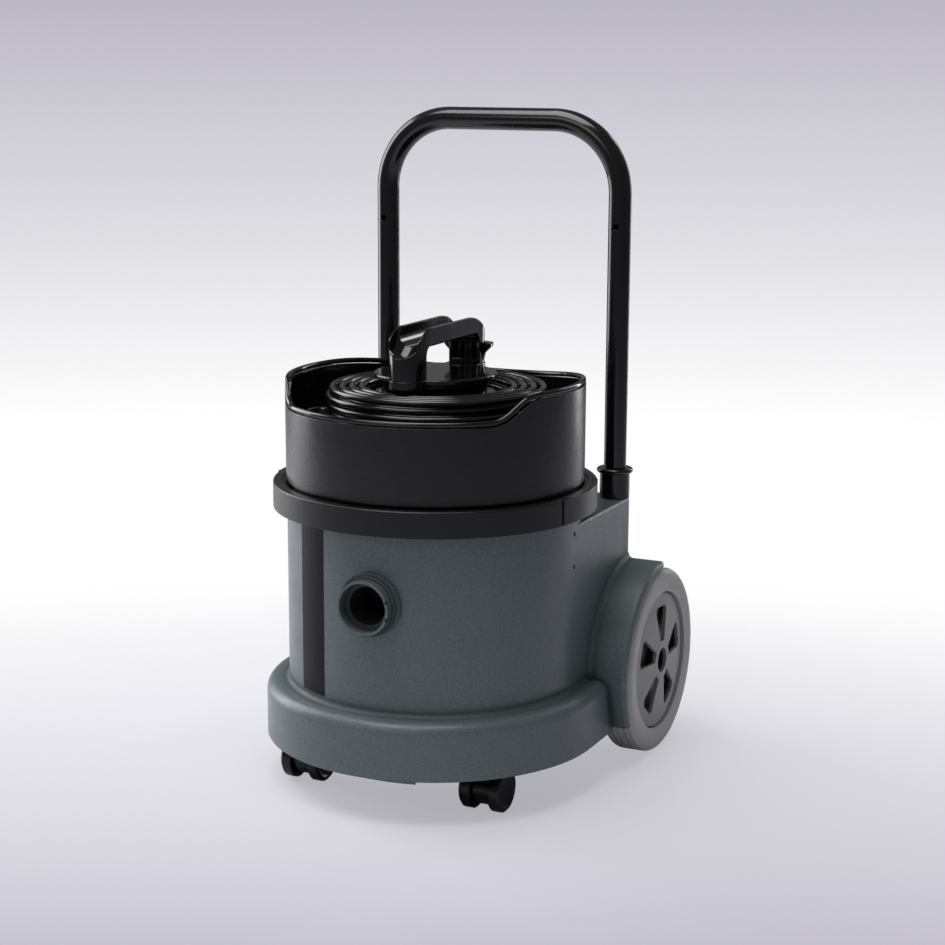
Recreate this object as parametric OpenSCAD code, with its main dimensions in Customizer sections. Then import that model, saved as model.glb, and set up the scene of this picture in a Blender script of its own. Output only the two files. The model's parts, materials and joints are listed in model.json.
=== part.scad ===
// Commercial tub vacuum cleaner on a push-along base.
// The drum axis is vertical, the front faces -Y and the floor is z = 0.

/* [Drum] */
// Outside diameter of the drum
drum_d = 324.4; // [318:0.2:330]
// Wall of the drum and of the rear housing
drum_wall = 4; // [3:0.5:5]
// Height of the drum's rim above the floor
rim_z = 304; // [298:1:310]
// Height of the underside of the drum's floor
floor_z = 72; // [70:1:78]
// Distance from the drum axis to the rear face of the housing
rear_y = 185; // [183:1:190]
// Height of the housing's shoulder
shoulder_z = 292; // [285:1:294]
// Rounding of the shoulder's edge
shoulder_round = 3; // [2:1:8]

/* [Bumper] */
// Diameter of the bumper's front
bumper_d = 374; // [368:1:380]
// Height of the bumper's lower edge
bumper_low_z = 48.5; // [47:0.5:52]
// Height of the bumper's top
bumper_top_z = 110; // [104:1:114]
// Wall of the bumper skirt
bumper_wall = 4; // [3:0.5:5]
// Rounding of the bumper's top edge
bumper_round = 13; // [8:1:15]
// Fillet between the bumper and the drum
bumper_fillet = 5; // [2:1:6]
// Drop of the lip under the skirt's front
lip_drop = 2.8; // [1:0.2:5]

/* [Rear wheels] */
// Tyre diameter
wheel_d = 212; // [206:1:216]
// Width of the tyre
tyre_w = 40; // [36:1:42]
// Height of the tyre's section from the rim to the tread
tyre_h = 26.5; // [22:0.5:30]
// Rounding of the tyre's shoulders
tyre_round = 9; // [6:1:11]
// Clearance between the drum's side and the tyre
wheel_gap = 5.3; // [4.5:0.1:8]
// Distance of the axle behind the drum axis
axle_y = 169; // [169:0.5:171]
// Axle rod diameter
axle_d = 12; // [10:0.5:12]
// Wall of the rim
rim_wall = 4; // [3:0.5:4.5]
// Radius of the hub's bore
hub_bore_r = 14; // [12:0.5:16]
// Rise of the rim's face from its edge to the hub
hub_rise = 4.5; // [2:0.5:5]
// Number of windows in the rim's face
window_count = 5; // [3:1:7]
// Inner radius of the windows
window_in_r = 22; // [19:1:26]
// Outer radius of the windows
window_out_r = 63; // [52:1:64]
// Angle that a window spans at its outer edge
window_angle = 31; // [24:1:38]
// Number of grooves in the tread
tread_grooves = 5; // [2:1:6]

/* [Wheel arches] */
// Clearance between the tyre and the arch
arch_gap = 5.5; // [4.5:0.5:6]
// Wall of the arch
arch_wall = 4; // [3:0.5:5]
// Inside radius of the arch's rolled lip
arch_lip = 1; // [0.5:0.5:2]
// Distance from the tyre's face back to the lip
arch_inset = 0.5; // [0:0.5:4]
// Rounding of the arch's corners
arch_corner = 6; // [3:1:10]
// Angle of the arch's lower end below the axle
arch_low_angle = 27; // [15:1:30]
// Angle of the arch's upper end behind the top of the wheel
arch_high_angle = 2; // [0:1:8]
// Fillet between the arch and the housing's side
arch_fillet = 6; // [3:1:9]

/* [Casters] */
// Distance between the two caster swivels
caster_track = 217.2; // [205:1:220]
// Distance of the caster wheels' axle in front of the drum axis
caster_axle_y = 94.9; // [88:1:98]
// Trail from the swivel to the wheels' axle
caster_trail = 17; // [14:1:20]
// Caster wheel diameter
caster_wheel_d = 48; // [44:1:48]
// Width of one caster wheel
caster_wheel_w = 13; // [10:1:14]
// Width of the caster body between its wheels
caster_body_w = 20; // [16:1:22]
// Diameter of the swivel stem
stem_d = 10; // [8:1:11]
// Diameter of the caster wheels' axle pin
caster_pin_d = 6; // [5:0.5:7]

/* [Hose inlet] */
// Height of the hose inlet's axis
inlet_z = 229; // [222:1:236]
// Turn of the hose inlet from straight ahead
inlet_turn = 2; // [-4:1:4]
// Reach of the inlet collar past the drum
inlet_reach = 21; // [18:1:26]
// Outside radius of the collar's mouth
mouth_r = 29; // [28:0.5:31]
// Wall of the collar's mouth
mouth_wall = 2.6; // [2:0.2:3]
// Radius of the collar's flange
inlet_flange_r = 33.7; // [32:0.1:36]
// Radius of the air passage
inlet_bore_r = 22.5; // [20:0.5:23]

/* [Push handle] */
// Diameter of the handle tube
tube_d = 25.4; // [22:0.2:26]
// Wall of the handle tube
tube_wall = 1.5; // [1:0.1:2]
// Distance between the handle's two legs
leg_span = 290.2; // [289:0.2:292]
// Distance of the handle behind the drum axis
leg_y = 168; // [166:0.5:170]
// Height of the top bar's axis
bar_z = 715.9; // [650:1:760]
// Centreline radius of the handle's bends
bend_r = 80; // [60:1:100]
// Height of the accessory holes in the legs
leg_hole_z = 600; // [500:1:620]
// Diameter of the accessory holes
leg_hole_d = 7; // [4:0.5:9]
// Outside diameter of the handle sockets
socket_d = 34; // [33:0.5:35]
// Height of the sockets' top
socket_top_z = 327; // [318:1:332]
// Diameter of the sockets' top flange
socket_flange_d = 41.4; // [38:0.2:42]

/* [Clamp ring] */
// Outside diameter of the clamp ring
ring_d = 355; // [350:1:360]
// Height of the clamp ring
ring_h = 27.9; // [24:0.1:29]
// Gap between the drum's rim and the clamp ring
ring_gap = 0.8; // [0.5:0.1:1.5]
// Angle from the front to a latch's free end
latch_from = 75; // [70:1:80]
// Angle from the front to a latch's hinged end
latch_to = 120; // [112:1:124]
// Seam between the ring and a latch's free end
latch_seam = 2; // [1:0.5:3]
// Thickness of a latch
latch_t = 6; // [5:0.5:7]

/* [Cable bowl] */
// Outside diameter of the cowl
cowl_d = 326.4; // [322:0.2:328]
// Wall of the cowl
cowl_wall = 3; // [2.5:0.5:3.5]
// Exhaust gap between the clamp ring and the cowl
exhaust_gap = 1.8; // [1:0.1:3]
// Height of the rim at the front
cowl_front_z = 422; // [418:1:428]
// Height of the rim at the sides
cowl_side_z = 447; // [440:1:450]
// Height of the rim at the back
cowl_back_z = 432; // [428:1:438]
// Half angle of the low front of the rim
cowl_low_angle = 50; // [45:2.5:52.5]
// Half angle at which the rim has reached its full height
cowl_high_angle = 62.5; // [57.5:2.5:65]
// Thickness of the rolled edge
edge_t = 6; // [5:0.5:7]
// Rounding where the rim starts and stops rising
rim_round = 18; // [12:1:20]
// Angle from the front to the cowl's side seams
seam_angle = 109; // [100:1:112]
// Height of the bowl's floor
bowl_floor_z = 404; // [400:1:406]
// Depth of the gutter round the coil
gutter_depth = 8; // [6:1:9]
// Wall of the bowl
bowl_wall = 2.5; // [2:0.5:3]

/* [Hub] */
// Diameter of the hub's lower tier
tier_d = 134; // [126:1:136]
// Diameter of the hub's waist
waist_d = 112; // [90:1:116]
// Height of the lower tier's top
tier_z = 429; // [425:1:430]
// Diameter of the top disc
disc_d = 134; // [126:1:140]
// Height of the top disc's upper face
disc_z = 450; // [446:1:452]
// Thickness of the top disc
disc_t = 5; // [4:0.5:6]

/* [Carry handle] */
// Width of the carry handle
grip_w = 38; // [34:1:42]
// Height of the grip's side rims
grip_z = 504; // [498:1:508]
// Distance from the drum axis to the front leg's inner face
grip_front_y = 60; // [56:1:62]
// Distance from the drum axis to the rear leg's inner face
grip_rear_y = 72; // [66:1:74]
// Wall of the grip's trough
grip_wall = 3.5; // [3:0.5:4.5]
// Height of the side rims above the trough's centre
grip_rim_h = 5.5; // [4:0.5:7]
// Radius of the side rims' bend over the front leg
front_bend_r = 45; // [44:1:50]
// Radius of the side rims' bend over the rear leg
rear_bend_r = 58; // [56:1:64]
// Slope of the spouts at both ends
spout_angle = 38; // [36:1:40]
// Inside radius of the spouts
spout_r = 17; // [16:0.5:17.5]

/* [Mains cord] */
// Diameter of the cord
cord_d = 7.2; // [6:0.2:7.4]
// Innermost radius of the coil
coil_in_r = 80; // [78:1:82]
// Outermost radius of the coil
coil_out_r = 118.5; // [116:0.5:120]
// Turns in one layer
layer_turns = 3.625; // [3.375:0.25:3.875]
// Height from one layer to the next
layer_rise = 8.4; // [8:0.1:8.8]

/* [Motor] */
// Diameter of the fan case
fan_case_d = 144; // [136:1:150]
// Height of the fan case
fan_case_h = 34; // [30:1:36]
// Diameter of the motor body
motor_d = 96; // [88:1:100]
// Height of the motor body
motor_h = 68; // [60:1:72]
// Diameter of the motor shaft
shaft_d = 8; // [6:0.5:10]
// Diameter of the fan
fan_d = 128; // [118:1:130]

/* [Hidden] */
$fn = 96;
clear = 0.3;
fit = 0.05;
eps = 0.01;
far = 1000;

drum_r = drum_d / 2;
drum_in_r = drum_r - drum_wall;
bumper_r = bumper_d / 2;
wheel_r = wheel_d / 2;
wheel_x = drum_r + wheel_gap + tyre_w;
rim_r = wheel_r - tyre_h;
leg_x = leg_span / 2;
tube_r = tube_d / 2;
socket_r = socket_d / 2;
arch_in_r = wheel_r + arch_gap;
arch_r = arch_in_r + arch_wall;
arch_x = wheel_x - arch_inset;
front_end = bumper_r;
rear_end = axle_y + wheel_r;
mid_y = (rear_end - front_end) / 2;
grey_blue = [0.36, 0.42, 0.46];
black = [0.06, 0.06, 0.065];

// Moves the drum axis so that the whole cleaner is centred on the origin.
module place() {
    translate([0, -mid_y, 0]) children();
}

module mirror_x(flip) {
    mirror([flip ? 1 : 0, 0, 0]) children();
}

module both_sides() {
    children();
    mirror([1, 0, 0]) children();
}

module tube(outer_r, inner_r, h) {
    difference() {
        cylinder(r = outer_r, h = h);
        translate([0, 0, -1]) cylinder(r = inner_r, h = h + 2);
    }
}

// Lays a shape built along +Z along +X instead.
module along_x() {
    rotate([0, 90, 0]) children();
}

// ---------- tub ----------

// Plan of the drum with its rear housing, drawn in by the given amount.
module tub_plan(inset) {
    circle(r = drum_r - inset);
    translate([-leg_x, 0]) square([leg_span, rear_y - inset]);
    translate([-drum_r + inset, 0]) square([drum_d - 2 * inset, leg_y + rear_corner_y]);
    for (s = [-1, 1])
        translate([s * leg_x, leg_y + rear_corner_y]) circle(r = corner_r - inset);
}

corner_r = drum_r - leg_x;
rear_corner_y = rear_y - leg_y - corner_r;

// Fillet in the inner corner at the origin, let into both walls.
module fillet(r) {
    difference() {
        translate([-1, -1]) square(r + 1);
        translate([r, r]) circle(r = r + 0.02);
    }
}

// Waste above a rounded edge: a square corner less a quarter circle.
module round_waste(r) {
    difference() {
        translate([-r, -r]) square(r + 5);
        translate([-r, -r]) circle(r = r);
    }
}

module shoulder_waste() {
    r = shoulder_round;
    corner_y = leg_y + rear_corner_y;
    both_sides() {
        translate([drum_r, 0, shoulder_z])
            rotate([-90, 0, 0]) mirror([0, 1, 0]) linear_extrude(corner_y) round_waste(r);
        translate([leg_x, corner_y, shoulder_z])
            rotate_extrude(angle = 90) translate([corner_r, 0]) round_waste(r);
    }
    translate([-leg_x, rear_y, shoulder_z])
        rotate([90, 0, 90]) linear_extrude(leg_span) round_waste(r);
}

// Section of the bumper skirt, with x as the distance from the drum axis.
module bumper_section() {
    r = bumper_round;
    in_r = bumper_round - bumper_wall;
    difference() {
        union() {
            translate([drum_in_r + 1, bumper_low_z])
                square([bumper_r - drum_in_r - 1 - r, bumper_top_z - bumper_low_z]);
            translate([drum_in_r + 1, bumper_low_z])
                square([bumper_r - drum_in_r - 1, bumper_top_z - bumper_low_z - r]);
            translate([bumper_r - r, bumper_top_z - r]) circle(r = r);
            translate([drum_r, bumper_top_z]) fillet(bumper_fillet);
        }
        square([drum_r, floor_z]);
        translate([drum_r, 0]) square([bumper_r - drum_r - bumper_wall - in_r, bumper_top_z - bumper_wall]);
        translate([drum_r, 0]) square([bumper_r - drum_r - bumper_wall, bumper_top_z - bumper_wall - in_r]);
        translate([bumper_r - r, bumper_top_z - r]) circle(r = in_r);
    }
}

wheel_well_r = arch_in_r + arch_wall / 2;
bumper_end_y = axle_y - sqrt(pow(wheel_well_r + 2, 2) - pow(wheel_r - bumper_low_z, 2));
lip_angle = 20;
lip_wall = 6;

module bumper() {
    rotate([0, 0, 180]) rotate_extrude(angle = 180) bumper_section();
    difference() {
        both_sides()
            translate([0, bumper_end_y, 0]) rotate([90, 0, 0])
                linear_extrude(bumper_end_y) bumper_section();
        wheel_wells();
    }
    skirt_lip();
}

// The round spaces that the rear wheels turn in.
module wheel_wells() {
    both_sides() translate([drum_r - 1, axle_y, wheel_r]) along_x() cylinder(r = wheel_well_r, h = far);
}

// A low lip under the skirt's front, which drops away to one side.
module skirt_lip() {
    low_z = bumper_low_z - lip_drop;
    slope = atan(lip_drop / (bumper_r * sin(lip_angle)));
    intersection() {
        rotate([0, 0, -90]) rotate_extrude(angle = lip_angle)
            translate([bumper_r - 1 - lip_wall, low_z]) square([lip_wall, lip_drop + 1]);
        translate([0, -far / 2, bumper_low_z]) rotate([0, slope, 0]) cube([far, far, far]);
    }
}

// Section of the arch, with x as the distance from the axle and y along it.
module arch_section() {
    root_x = drum_r - drum_wall / 2;
    lip_r = arch_wall + arch_lip;
    lip_c = [arch_r - lip_r, arch_x - lip_r];
    difference() {
        union() {
            translate([arch_in_r, root_x]) square([arch_wall, lip_c[1] - root_x]);
            translate(lip_c) circle(r = lip_r);
            translate([arch_r, drum_r]) fillet(arch_fillet);
        }
        translate(lip_c) circle(r = arch_lip);
        translate(lip_c - 2 * [lip_r, lip_r]) square([2 * lip_r, 4 * lip_r]);
        translate(lip_c - [1, 2 * lip_r]) square([arch_lip + 1, 2 * lip_r]);
    }
}

// Cuts one corner of the arch round; the arch lies on the +Y or the -Y side of it.
module arch_corner_waste(ahead) {
    translate([arch_in_r - 10, 0, arch_x]) rotate([90, 0, 90]) linear_extrude(arch_wall + 20)
        mirror([ahead ? 1 : 0, 0]) round_waste(arch_corner);
}

module arch() {
    sweep_angle = 90 + arch_low_angle + arch_high_angle;
    translate([0, axle_y, wheel_r]) rotate([0, 90, 0]) rotate([0, 0, 180 - arch_high_angle]) difference() {
        rotate_extrude(angle = sweep_angle) arch_section();
        arch_corner_waste(true);
        rotate([0, 0, sweep_angle]) arch_corner_waste(false);
    }
}

module at_legs() {
    for (s = [-1, 1])
        translate([s * leg_x, leg_y, 0]) children();
}

handle_bolt_z = 262;
handle_bolt_d = 5;
handle_bolt_l = 34;
leg_low_z = 236;
socket_bore_r = 15;

module handle_bolt_holes(d) {
    at_legs() translate([0, rear_y - leg_y + 1, handle_bolt_z]) rotate([90, 0, 0])
        cylinder(d = d, h = handle_bolt_l + 2);
}

caster_x = caster_track / 2;
swivel_y = -caster_axle_y + caster_trail;
caster_pad_z = 60;
caster_socket_r = stem_d / 2 + 3;
caster_pad_r = caster_socket_r + 8;

module at_swivels() {
    for (s = [-1, 1])
        translate([s * caster_x, swivel_y, 0]) children();
}

axle_boss_r = axle_d / 2 + 8;
axle_boss_in = 20;
core_low = 2;
axle_boss_w = axle_boss_in + wheel_gap + core_low - 0.5;
bracket_hole_d = 5;
bracket_hole_y = 8;
bracket_holes_z = [248, 284];

module tub() {
    color(grey_blue) place() difference() {
        union() {
            difference() {
                union() {
                    translate([0, 0, floor_z]) cylinder(r = drum_r, h = rim_z - floor_z);
                    difference() {
                        translate([0, 0, floor_z]) linear_extrude(shoulder_z - floor_z) tub_plan(0);
                        shoulder_waste();
                    }
                }
                // The rear housing is a closed hollow behind the drum.
                difference() {
                    translate([0, 0, floor_z + drum_wall])
                        linear_extrude(shoulder_z - floor_z - 2 * drum_wall) tub_plan(drum_wall);
                    cylinder(r = drum_r, h = rim_z);
                    at_legs() cylinder(r = corner_r, h = rim_z);
                }
            }
            bumper();
            both_sides() arch();
            both_sides() translate([drum_r - axle_boss_in, axle_y, wheel_r]) along_x()
                cylinder(r = axle_boss_r, h = axle_boss_w);
            at_swivels() translate([0, 0, caster_pad_z])
                cylinder(r = caster_pad_r, h = floor_z - caster_pad_z + 1);
        }
        translate([0, 0, floor_z + drum_wall]) cylinder(r = drum_in_r, h = rim_z);
        at_inlet() translate([0, 0, drum_in_r - 20]) cylinder(r = barrel_r + fit, h = far);
        at_legs() translate([0, 0, leg_low_z - 1]) cylinder(r = socket_bore_r + fit, h = rim_z);
        handle_bolt_holes(handle_bolt_d + 2 * fit);
        translate([-far / 2, axle_y, wheel_r]) along_x() cylinder(r = axle_d / 2 + fit, h = far);
        at_swivels() translate([0, 0, caster_pad_z - 1])
            cylinder(r = caster_socket_r + fit, h = floor_z + drum_wall - 1 - caster_pad_z);
        for (z = bracket_holes_z)
            translate([drum_r - 10, bracket_hole_y, z]) along_x() cylinder(d = bracket_hole_d, h = 20);
    }
}

// ---------- hose inlet ----------

barrel_r = 25;
barrel_in = 26;
nut_r = 36;
nut_t = 8;
seal_t = 2;
inlet_flange_t = 4;
collar_steps = [[2, 10.5], [0, inlet_reach]];
bead_out = 0.8;
bead_back = 6.5;
bead_w = 2;
mouth_l = 13;
mouth_flat = 1.1;
mouth_flat_l = 4;
lug_y = 9;
lug_w = 3;
lug_l = 2.5;
liner_wall = 1.8;
deflector_in = 5;
deflector_slope = 26.6;

// Stands a shape built along +Z on the drum's front, z being the distance from the axis.
module at_inlet() {
    rotate([0, 0, inlet_turn]) translate([0, 0, inlet_z]) rotate([90, 0, 0]) children();
}

module drum_solid(r) {
    translate([0, -inlet_z, 0]) rotate([-90, 0, 0]) cylinder(r = r, h = 2 * inlet_z);
}

module inlet_collar() {
    mouth_z = drum_r + inlet_reach;
    root_z = drum_r / 2;
    flange_out = seal_t + inlet_flange_t;
    color(grey_blue) place() at_inlet() difference() {
        union() {
            difference() {
                union() {
                    translate([0, 0, root_z])
                        cylinder(r = inlet_flange_r, h = drum_r + flange_out - root_z);
                    for (step = collar_steps)
                        translate([0, 0, root_z])
                            cylinder(r = mouth_r + step[0], h = drum_r + step[1] - root_z);
                }
                drum_solid(drum_r + seal_t + 2 * clear);
            }
            translate([0, 0, mouth_z - bead_back]) cylinder(r = mouth_r + bead_out, h = bead_w);
            translate([0, 0, drum_r - barrel_in]) cylinder(r = barrel_r, h = barrel_in + 8);
        }
        translate([0, 0, drum_r - barrel_in - 1]) cylinder(r = inlet_bore_r, h = far);
        translate([0, 0, mouth_z - mouth_l]) cylinder(r = mouth_r - mouth_wall, h = far);
        // The mouth is flattened underneath and notched for the hose's bayonet lugs.
        translate([-mouth_r, -2 * mouth_r + mouth_flat, mouth_z - mouth_flat_l])
            cube([2 * mouth_r, mouth_r, far]);
        for (s = [-1, 1], t = [-1, 1])
            translate([s * mouth_r - lug_w, t * lug_y - lug_w / 2, mouth_z - lug_l])
                cube([2 * lug_w, lug_w, far]);
    }
}

module inlet_seal() {
    color([0.1, 0.1, 0.1]) place() at_inlet() difference() {
        intersection() {
            translate([0, 0, drum_r - 15]) tube(inlet_flange_r - 1, barrel_r + clear, 30);
            drum_solid(drum_r + clear + seal_t);
        }
        drum_solid(drum_r + clear);
    }
}

// All that lies outside a slanted end plate whose top edge is at z.
module past_plate(z) {
    translate([0, inlet_bore_r, z]) rotate([deflector_slope, 0, 0])
        translate([-far / 2, -far / 2, 0]) cube(far);
}

// The nut carries the passage's liner, which ends in a slanted plate over a downward mouth.
module inlet_nut() {
    nut_z = drum_in_r - 12 - nut_t;
    back_z = drum_r - barrel_in - clear;
    plate_z = back_z - deflector_in;
    end_r = barrel_r + 3;
    liner_r = inlet_bore_r - fit;
    in_r = liner_r - liner_wall;
    color(black) place() at_inlet() difference() {
        union() {
            intersection() {
                difference() {
                    translate([0, 0, nut_z]) tube(nut_r, barrel_r + fit, nut_t + 12);
                    for (a = [0 : 45 : 315])
                        rotate([0, 0, a]) translate([nut_r, 0, nut_z - 1]) cylinder(r = 4, h = far);
                }
                drum_solid(drum_in_r - clear);
            }
            translate([0, 0, back_z - 3]) tube(end_r, liner_r - 1, 3);
            translate([0, 0, back_z - 3]) tube(end_r, barrel_r + fit, nut_z - back_z + 4);
            intersection() {
                cylinder(r = liner_r, h = drum_r + inlet_reach - mouth_l);
                past_plate(plate_z);
            }
        }
        intersection() {
            union() {
                cylinder(r = in_r, h = far);
                translate([-in_r, -2 * liner_r, 0]) cube([2 * in_r, 2 * liner_r, back_z - 5]);
            }
            past_plate(plate_z + 2 * liner_wall);
        }
    }
}

label_from = -34.4;
label_to = -20.2;
label_t = 0.5;
label_low_z = 113;

module label_band() {
    color([0.05, 0.05, 0.05]) place()
        rotate([0, 0, -90 + label_from]) rotate_extrude(angle = label_to - label_from)
            translate([drum_r + fit, label_low_z + bumper_fillet])
                square([label_t, rim_z - label_low_z - bumper_fillet - 1]);
}

// ---------- push handle ----------

module handle_path(r) {
    straight_top = leg_x - bend_r;
    for (s = [-1, 1]) {
        translate([s * leg_x, 0, leg_low_z]) cylinder(r = r, h = bar_z - bend_r - leg_low_z);
        translate([s * straight_top, 0, bar_z - bend_r])
            rotate([90, 0, 0]) rotate([0, 0, s > 0 ? 0 : 90])
                rotate_extrude(angle = 90) translate([bend_r, 0]) circle(r = r);
    }
    translate([-straight_top, 0, bar_z]) along_x() cylinder(r = r, h = 2 * straight_top);
}

module push_handle() {
    color(black) place() difference() {
        translate([0, leg_y, 0]) difference() {
            handle_path(tube_r);
            handle_path(tube_r - tube_wall);
            for (s = [-1, 1]) {
                translate([s * leg_x, 0, leg_low_z - 1]) cylinder(r = tube_r - tube_wall, h = 2);
                translate([s * leg_x, 0, leg_hole_z]) rotate([90, 0, 0])
                    cylinder(d = leg_hole_d, h = 2 * tube_r);
            }
        }
        handle_bolt_holes(handle_bolt_d + 2 * fit);
    }
}

module handle_socket() {
    lip = 3;
    color(black) place() difference() {
        translate([leg_x, leg_y, 0]) difference() {
            union() {
                translate([0, 0, leg_low_z]) cylinder(r = socket_bore_r, h = shoulder_z - leg_low_z + 1);
                translate([0, 0, shoulder_z + clear])
                    cylinder(r = socket_r, h = socket_top_z - shoulder_z - clear - lip);
                translate([0, 0, socket_top_z - 2 * lip]) rotate_extrude() {
                    square([socket_flange_d / 2 - lip, 2 * lip]);
                    translate([socket_flange_d / 2 - lip, lip]) circle(r = lip);
                }
            }
            translate([0, 0, leg_low_z - 1]) cylinder(r = tube_r + fit, h = far);
        }
        handle_bolt_holes(handle_bolt_d + 2 * fit);
    }
}

module handle_socket_left() {
    mirror_x(true) handle_socket();
}

module handle_socket_right() {
    handle_socket();
}

module handle_bolts() {
    head_r = 5;
    color([0.3, 0.3, 0.32]) place() at_legs() translate([0, rear_y - leg_y + clear, handle_bolt_z])
        rotate([90, 0, 0]) {
        cylinder(d = handle_bolt_d, h = handle_bolt_l);
        translate([0, 0, -3]) difference() {
            cylinder(r = head_r, h = 3);
            translate([0, 0, -1]) cylinder(r = 2.2, h = 2.6, $fn = 6);
        }
    }
}

// ---------- rear wheels ----------

core_wall = 3;
core_r = hub_bore_r - 0.5 + core_wall;
bearing_l = 14;
cap_x = wheel_x - tyre_w + core_low + bearing_l + clear;
cap_depth = 4;
tyre_bulge = 1.6;
rim_low = 4;
rim_edge = tyre_w - hub_rise;
rim_groove = [1.8, 5];
window_depth = 5.5;
web_t = 4;

module axle() {
    half = cap_x + cap_depth;
    color([0.6, 0.6, 0.62]) place() translate([-half, axle_y, wheel_r]) along_x()
        cylinder(d = axle_d, h = 2 * half);
}

module axle_caps() {
    color(black) place() both_sides() translate([cap_x, axle_y, wheel_r]) along_x() difference() {
        union() {
            cylinder(r = axle_d / 2 + 3.5, h = 2);
            cylinder(r = axle_d / 2 + 1.5, h = cap_depth + 1.5);
        }
        translate([0, 0, -1]) cylinder(r = axle_d / 2 + fit, h = cap_depth + 1 + fit);
    }
}

// Half section of the tyre: x is the distance from the axle, y runs along it.
module tyre_section() {
    r = tyre_round;
    groove_from = r - 3;
    groove_step = (tyre_w - 2 * groove_from) / (tread_grooves - 1);
    difference() {
        union() {
            polygon([
                [rim_r, 0], [wheel_r - r, 0], [wheel_r - r, tyre_w],
                [rim_r + tyre_h / 2, tyre_w], [rim_r, tyre_w - tyre_bulge]
            ]);
            translate([wheel_r - r - 1, r]) square([r + 1, tyre_w - 2 * r]);
            intersection() {
                translate([rim_r, 0]) square([tyre_h, tyre_w]);
                for (y = [r, tyre_w - r])
                    translate([wheel_r - r, y]) circle(r = r);
            }
        }
        for (i = [0 : tread_grooves - 1])
            translate([wheel_r, groove_from + i * groove_step]) square([3, 1.6], center = true);
    }
}

module at_wheel() {
    translate([wheel_x - tyre_w, axle_y, wheel_r]) along_x() children();
}

module tyre() {
    color([0.5, 0.5, 0.5]) place() at_wheel() rotate_extrude($fn = 128) tyre_section();
}

// One window: a sector between two radii with its outer corners cut.
module window() {
    in_half = window_in_r * sin(window_angle / 2);
    out_half = window_out_r * sin(window_angle / 2);
    corner = 5;
    polygon([
        [-in_half, window_in_r], [in_half, window_in_r],
        [out_half, window_out_r - corner], [out_half - corner, window_out_r],
        [corner - out_half, window_out_r], [-out_half, window_out_r - corner]
    ]);
}

first_window = 70;

// The rim's face rises to the hub and stands off the tyre by a narrow groove.
module rim() {
    outer = rim_r - clear;
    disc_r = outer - rim_groove[0];
    hub_r = hub_bore_r + 5;
    color([0.42, 0.42, 0.42]) place() at_wheel() difference() {
        rotate_extrude() polygon([
            [hub_bore_r, tyre_w], [hub_r, tyre_w], [disc_r, rim_edge],
            [disc_r, rim_edge - rim_groove[1]], [outer, rim_edge - rim_groove[1]],
            [outer, rim_low], [outer - rim_wall, rim_low], [outer - rim_wall, rim_edge - rim_wall],
            [hub_r, tyre_w - rim_wall], [hub_bore_r, tyre_w - rim_wall]
        ]);
        for (i = [0 : window_count - 1])
            rotate([0, 0, 90 + first_window + i * 360 / window_count])
                translate([0, 0, rim_edge - rim_wall - 1]) linear_extrude(rim_wall + hub_rise + 2) window();
    }
}

// The core has the bearing, and its web closes the windows from behind.
module wheel_core() {
    in_r = axle_d / 2 + fit;
    out_r = rim_r - rim_wall - 2 * clear;
    web_z = rim_edge - rim_wall - window_depth;
    top_z = tyre_w - rim_wall - clear;
    color([0.16, 0.16, 0.16]) place() at_wheel() rotate_extrude() polygon([
        [in_r, core_low], [core_r, core_low], [core_r, web_z - web_t], [out_r, web_z - web_t],
        [out_r, web_z], [core_r, web_z], [core_r, top_z], [core_r - core_wall, top_z],
        [core_r - core_wall, core_low + bearing_l], [in_r, core_low + bearing_l]
    ]);
}

module tyre_left() {
    mirror_x(true) tyre();
}

module tyre_right() {
    tyre();
}

module rim_left() {
    mirror_x(true) rim();
}

module rim_right() {
    rim();
}

module wheel_core_left() {
    mirror_x(true) wheel_core();
}

module wheel_core_right() {
    wheel_core();
}

// ---------- casters ----------

caster_r = caster_wheel_d / 2;
caster_wheel_gap = 0.5;
caster_hood_r = caster_r - 6;
caster_face = 3;
caster_recess = 1.2;
caster_bevel = 2.4;
caster_neck = 8;

module at_caster_axle() {
    translate([caster_x, -caster_axle_y, caster_r]) along_x() children();
}

module caster_body() {
    w = caster_body_w;
    neck_z = caster_pad_z - clear - 3;
    color(black) place() difference() {
        union() {
            at_caster_axle() translate([0, 0, -w / 2]) cylinder(r = caster_hood_r, h = w);
            translate([caster_x - w / 2, -caster_axle_y, 0]) rotate([90, 0, 90]) linear_extrude(w) polygon([
                [-caster_hood_r, caster_r], [-caster_neck, neck_z], [caster_trail + caster_neck, neck_z],
                [caster_trail + caster_neck, neck_z - 6], [caster_hood_r, caster_r]
            ]);
            translate([caster_x, swivel_y, caster_pad_z - clear - 6]) cylinder(r = w / 2 + 3, h = 6);
            translate([caster_x, swivel_y, caster_pad_z - 10])
                cylinder(d = stem_d, h = floor_z - caster_pad_z + 10);
        }
        at_caster_axle() translate([0, 0, -w]) cylinder(d = caster_pin_d + 2 * fit, h = 2 * w);
    }
}

module caster_pin() {
    half = caster_body_w / 2 + caster_wheel_gap + caster_wheel_w - caster_face - 0.5;
    color([0.6, 0.6, 0.62]) place() at_caster_axle() translate([0, 0, -half])
        cylinder(d = caster_pin_d, h = 2 * half);
}

// The wheel has a crisp bevelled edge round a shallow dish; outward faces +Z.
module caster_wheel() {
    r = caster_r;
    w = caster_wheel_w;
    color(black) place() at_caster_axle() translate([0, 0, caster_body_w / 2 + caster_wheel_gap]) difference() {
        rotate_extrude() polygon([
            [0, 0], [r - 1, 0], [r, 1], [r, w - caster_bevel], [r - caster_bevel, w],
            [r - 2 * caster_bevel, w], [r - 3 * caster_bevel, w - caster_recess], [0, w - caster_recess]
        ]);
        translate([0, 0, -1]) cylinder(d = caster_pin_d + 2 * fit, h = w - caster_face + 1);
    }
}

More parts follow.
